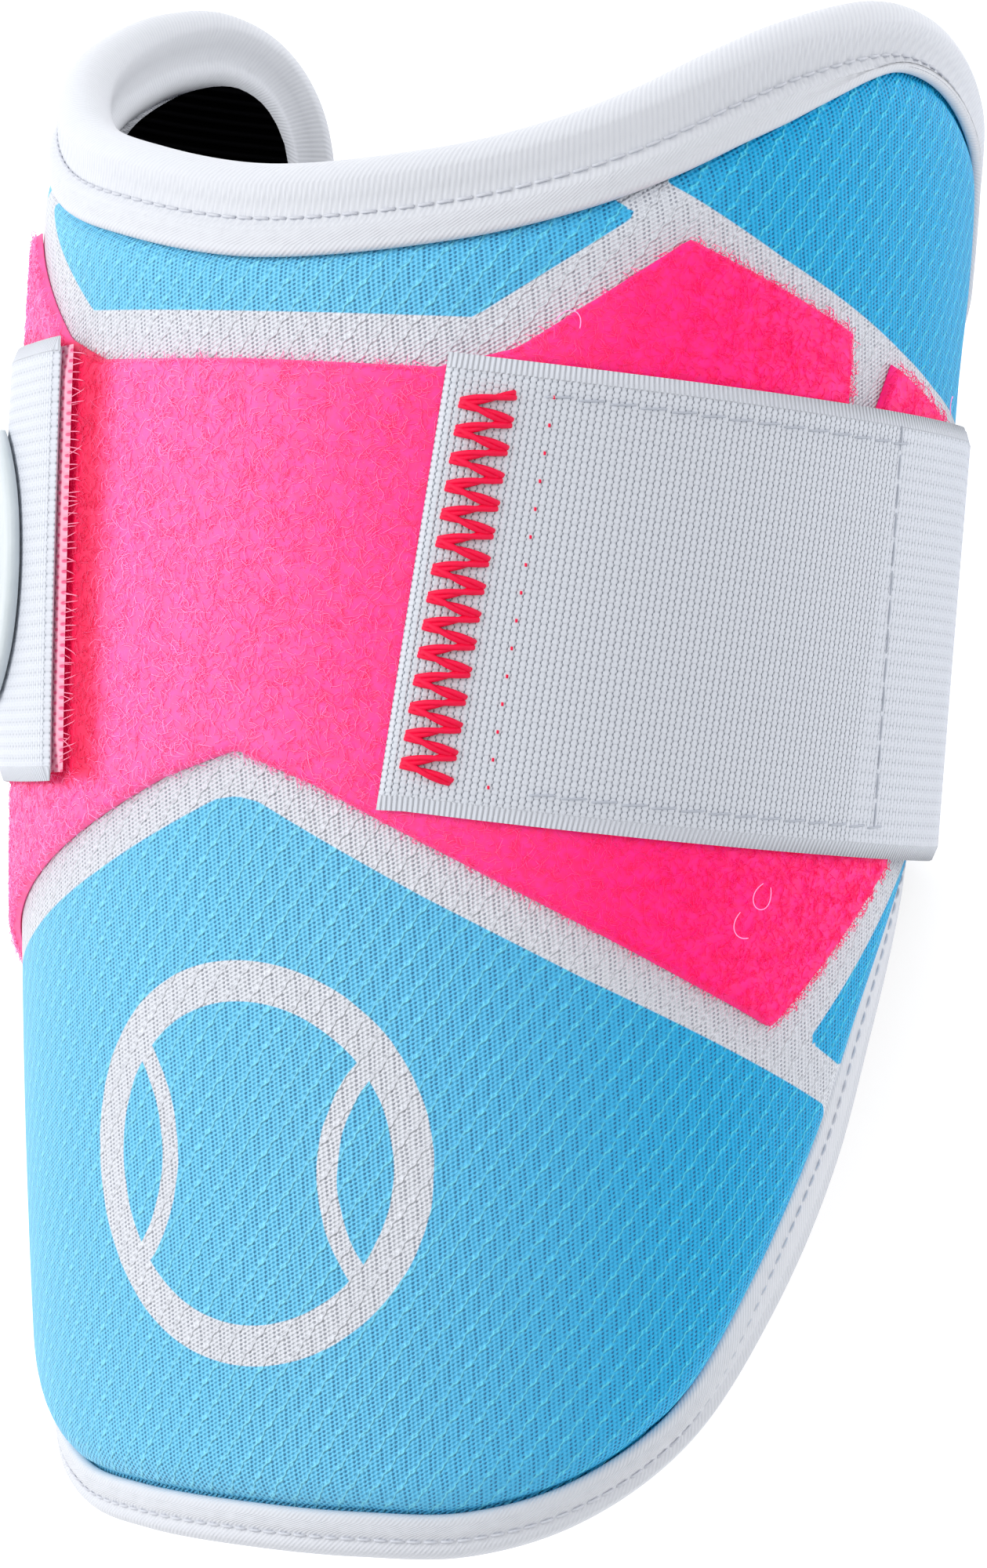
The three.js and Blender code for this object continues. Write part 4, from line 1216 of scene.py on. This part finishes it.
tape = Finish("pink_hook_tape", 0.45)
tape_way, tape_across = tape.places("cloth")
dot = tape.maths("SINE", tape.times(tape_across, 2 * np.pi / TAPE_DOT))
dot = tape.times(dot, tape.maths("SINE", tape.times(tape_way, np.pi / TAPE_DOT)))
tape.colour(tape.mixed(tape.smooth(dot, 0.2, 0.8), TAPE_PINK, TAPE_DEEP))
tape.relief(dot, -0.0001)
tape_spans = {
    "right": (TAPE_RIGHT_FROM, TAPE_RIGHT_FROM + TAPE_TURN, TAPE_WIDTH / STRAP_WIDTH),
    "left": (360 - TAPE_LEFT_FROM - TAPE_TURN, 360 - TAPE_LEFT_FROM, LEFT_TAPE_SHARE),
}
for side, (start, end, tape_half) in tape_spans.items():
    points, faces, cloth = band_slab(start, end, 0, tape_half, -TAPE_GAP - TAPE_THICKNESS, -TAPE_GAP, 60, 17)
    make_piece(f"tape_{side}", points, faces, tape, "hook_tape", [f"hook_tape_{side}"], cloth)


# Bristles of the tape that stand out past the strap's left end and catch in the pile
HOOK_PITCH = 0.0007
HOOK_RADIUS = 0.00006
HOOK_REACH = (0.0003, 0.0016)
HOOK_PALE = (1.0, 0.30, 0.48, 1)

along = np.arange(-0.93, 0.93, HOOK_PITCH * 2 / STRAP_WIDTH)[:, None]
along = along + chance.normal(0, 0.012, along.shape)
share = np.linspace(0, 1, 8)
reach = chance.uniform(*HOOK_REACH, len(along))[:, None]
lean = chance.normal(0, 0.035, len(along))[:, None]
bristles = np.stack([
    (360 - TAPE_LEFT_FROM) * ARC_PER_DEGREE - 0.0006 + (0.0006 + reach) * np.sin(share * 2.4) ** 1.2,
    along * STRAP_WIDTH / 2 + lean * STRAP_WIDTH / 2 * share,
    -0.0004 - 0.0014 * share**1.5 + 0 * reach,
], -1)
hooks = Finish("pale_hooks", 0.4, 0.5)
hooks.colour(HOOK_PALE)
make_threads("tape_bristles", bristles, HOOK_RADIUS, 5, hooks, slot="hook_tape")


# Strap badge
# A soft grey rubber badge moulded on the strap's left end, an oval with a raised rim.
BADGE_LENGTH = 0.032
BADGE_WIDTH = 0.027
BADGE_THICKNESS = 0.0014
BADGE_TURN = 53
BADGE_SIDES = 64
BADGE_GREY = (0.50, 0.56, 0.59, 1)
BADGE_PALE = (0.62, 0.67, 0.70, 1)
BADGE_RINGS = [
    (0, 0), (0.5, 0), (0.97, 0), (1, 0.1), (1, 0.7), (0.98, 0.92), (0.94, 1), (0.86, 1), (0.82, 0.92),
    (0.8, 0.6), (0.77, 0.5), (0.5, 0.55), (0, 0.6),
]


def badge():
    """Rings of an oval on the strap, each a share of its size and a share of its thickness."""
    share, rise = np.array(BADGE_RINGS)[1:-1].T[..., None]
    angle = np.linspace(0, 2 * np.pi, BADGE_SIDES, endpoint=False)
    turn = 360 - BADGE_TURN + share * BADGE_WIDTH / 2 * np.cos(angle) / ARC_PER_DEGREE
    across = share * BADGE_LENGTH / STRAP_WIDTH * np.sin(angle)
    height = STRAP_THICKNESS + CLEARANCE + rise * BADGE_THICKNESS + 0 * angle
    points = strap_point(turn, across, height).reshape(-1, 3)
    return points, tube_faces(1, len(share), len(angle), fan(len(angle)))


rubber = Finish("grey_rubber", 0.4)
rubber.colour(rubber.mixed(rubber.noise(0.004), BADGE_GREY, BADGE_PALE))
rubber.relief(rubber.noise(0.0003), 0.00003)
points, faces = badge()
make_piece("badge", points, faces, rubber, "badge_rubber", ["strap_badge"])
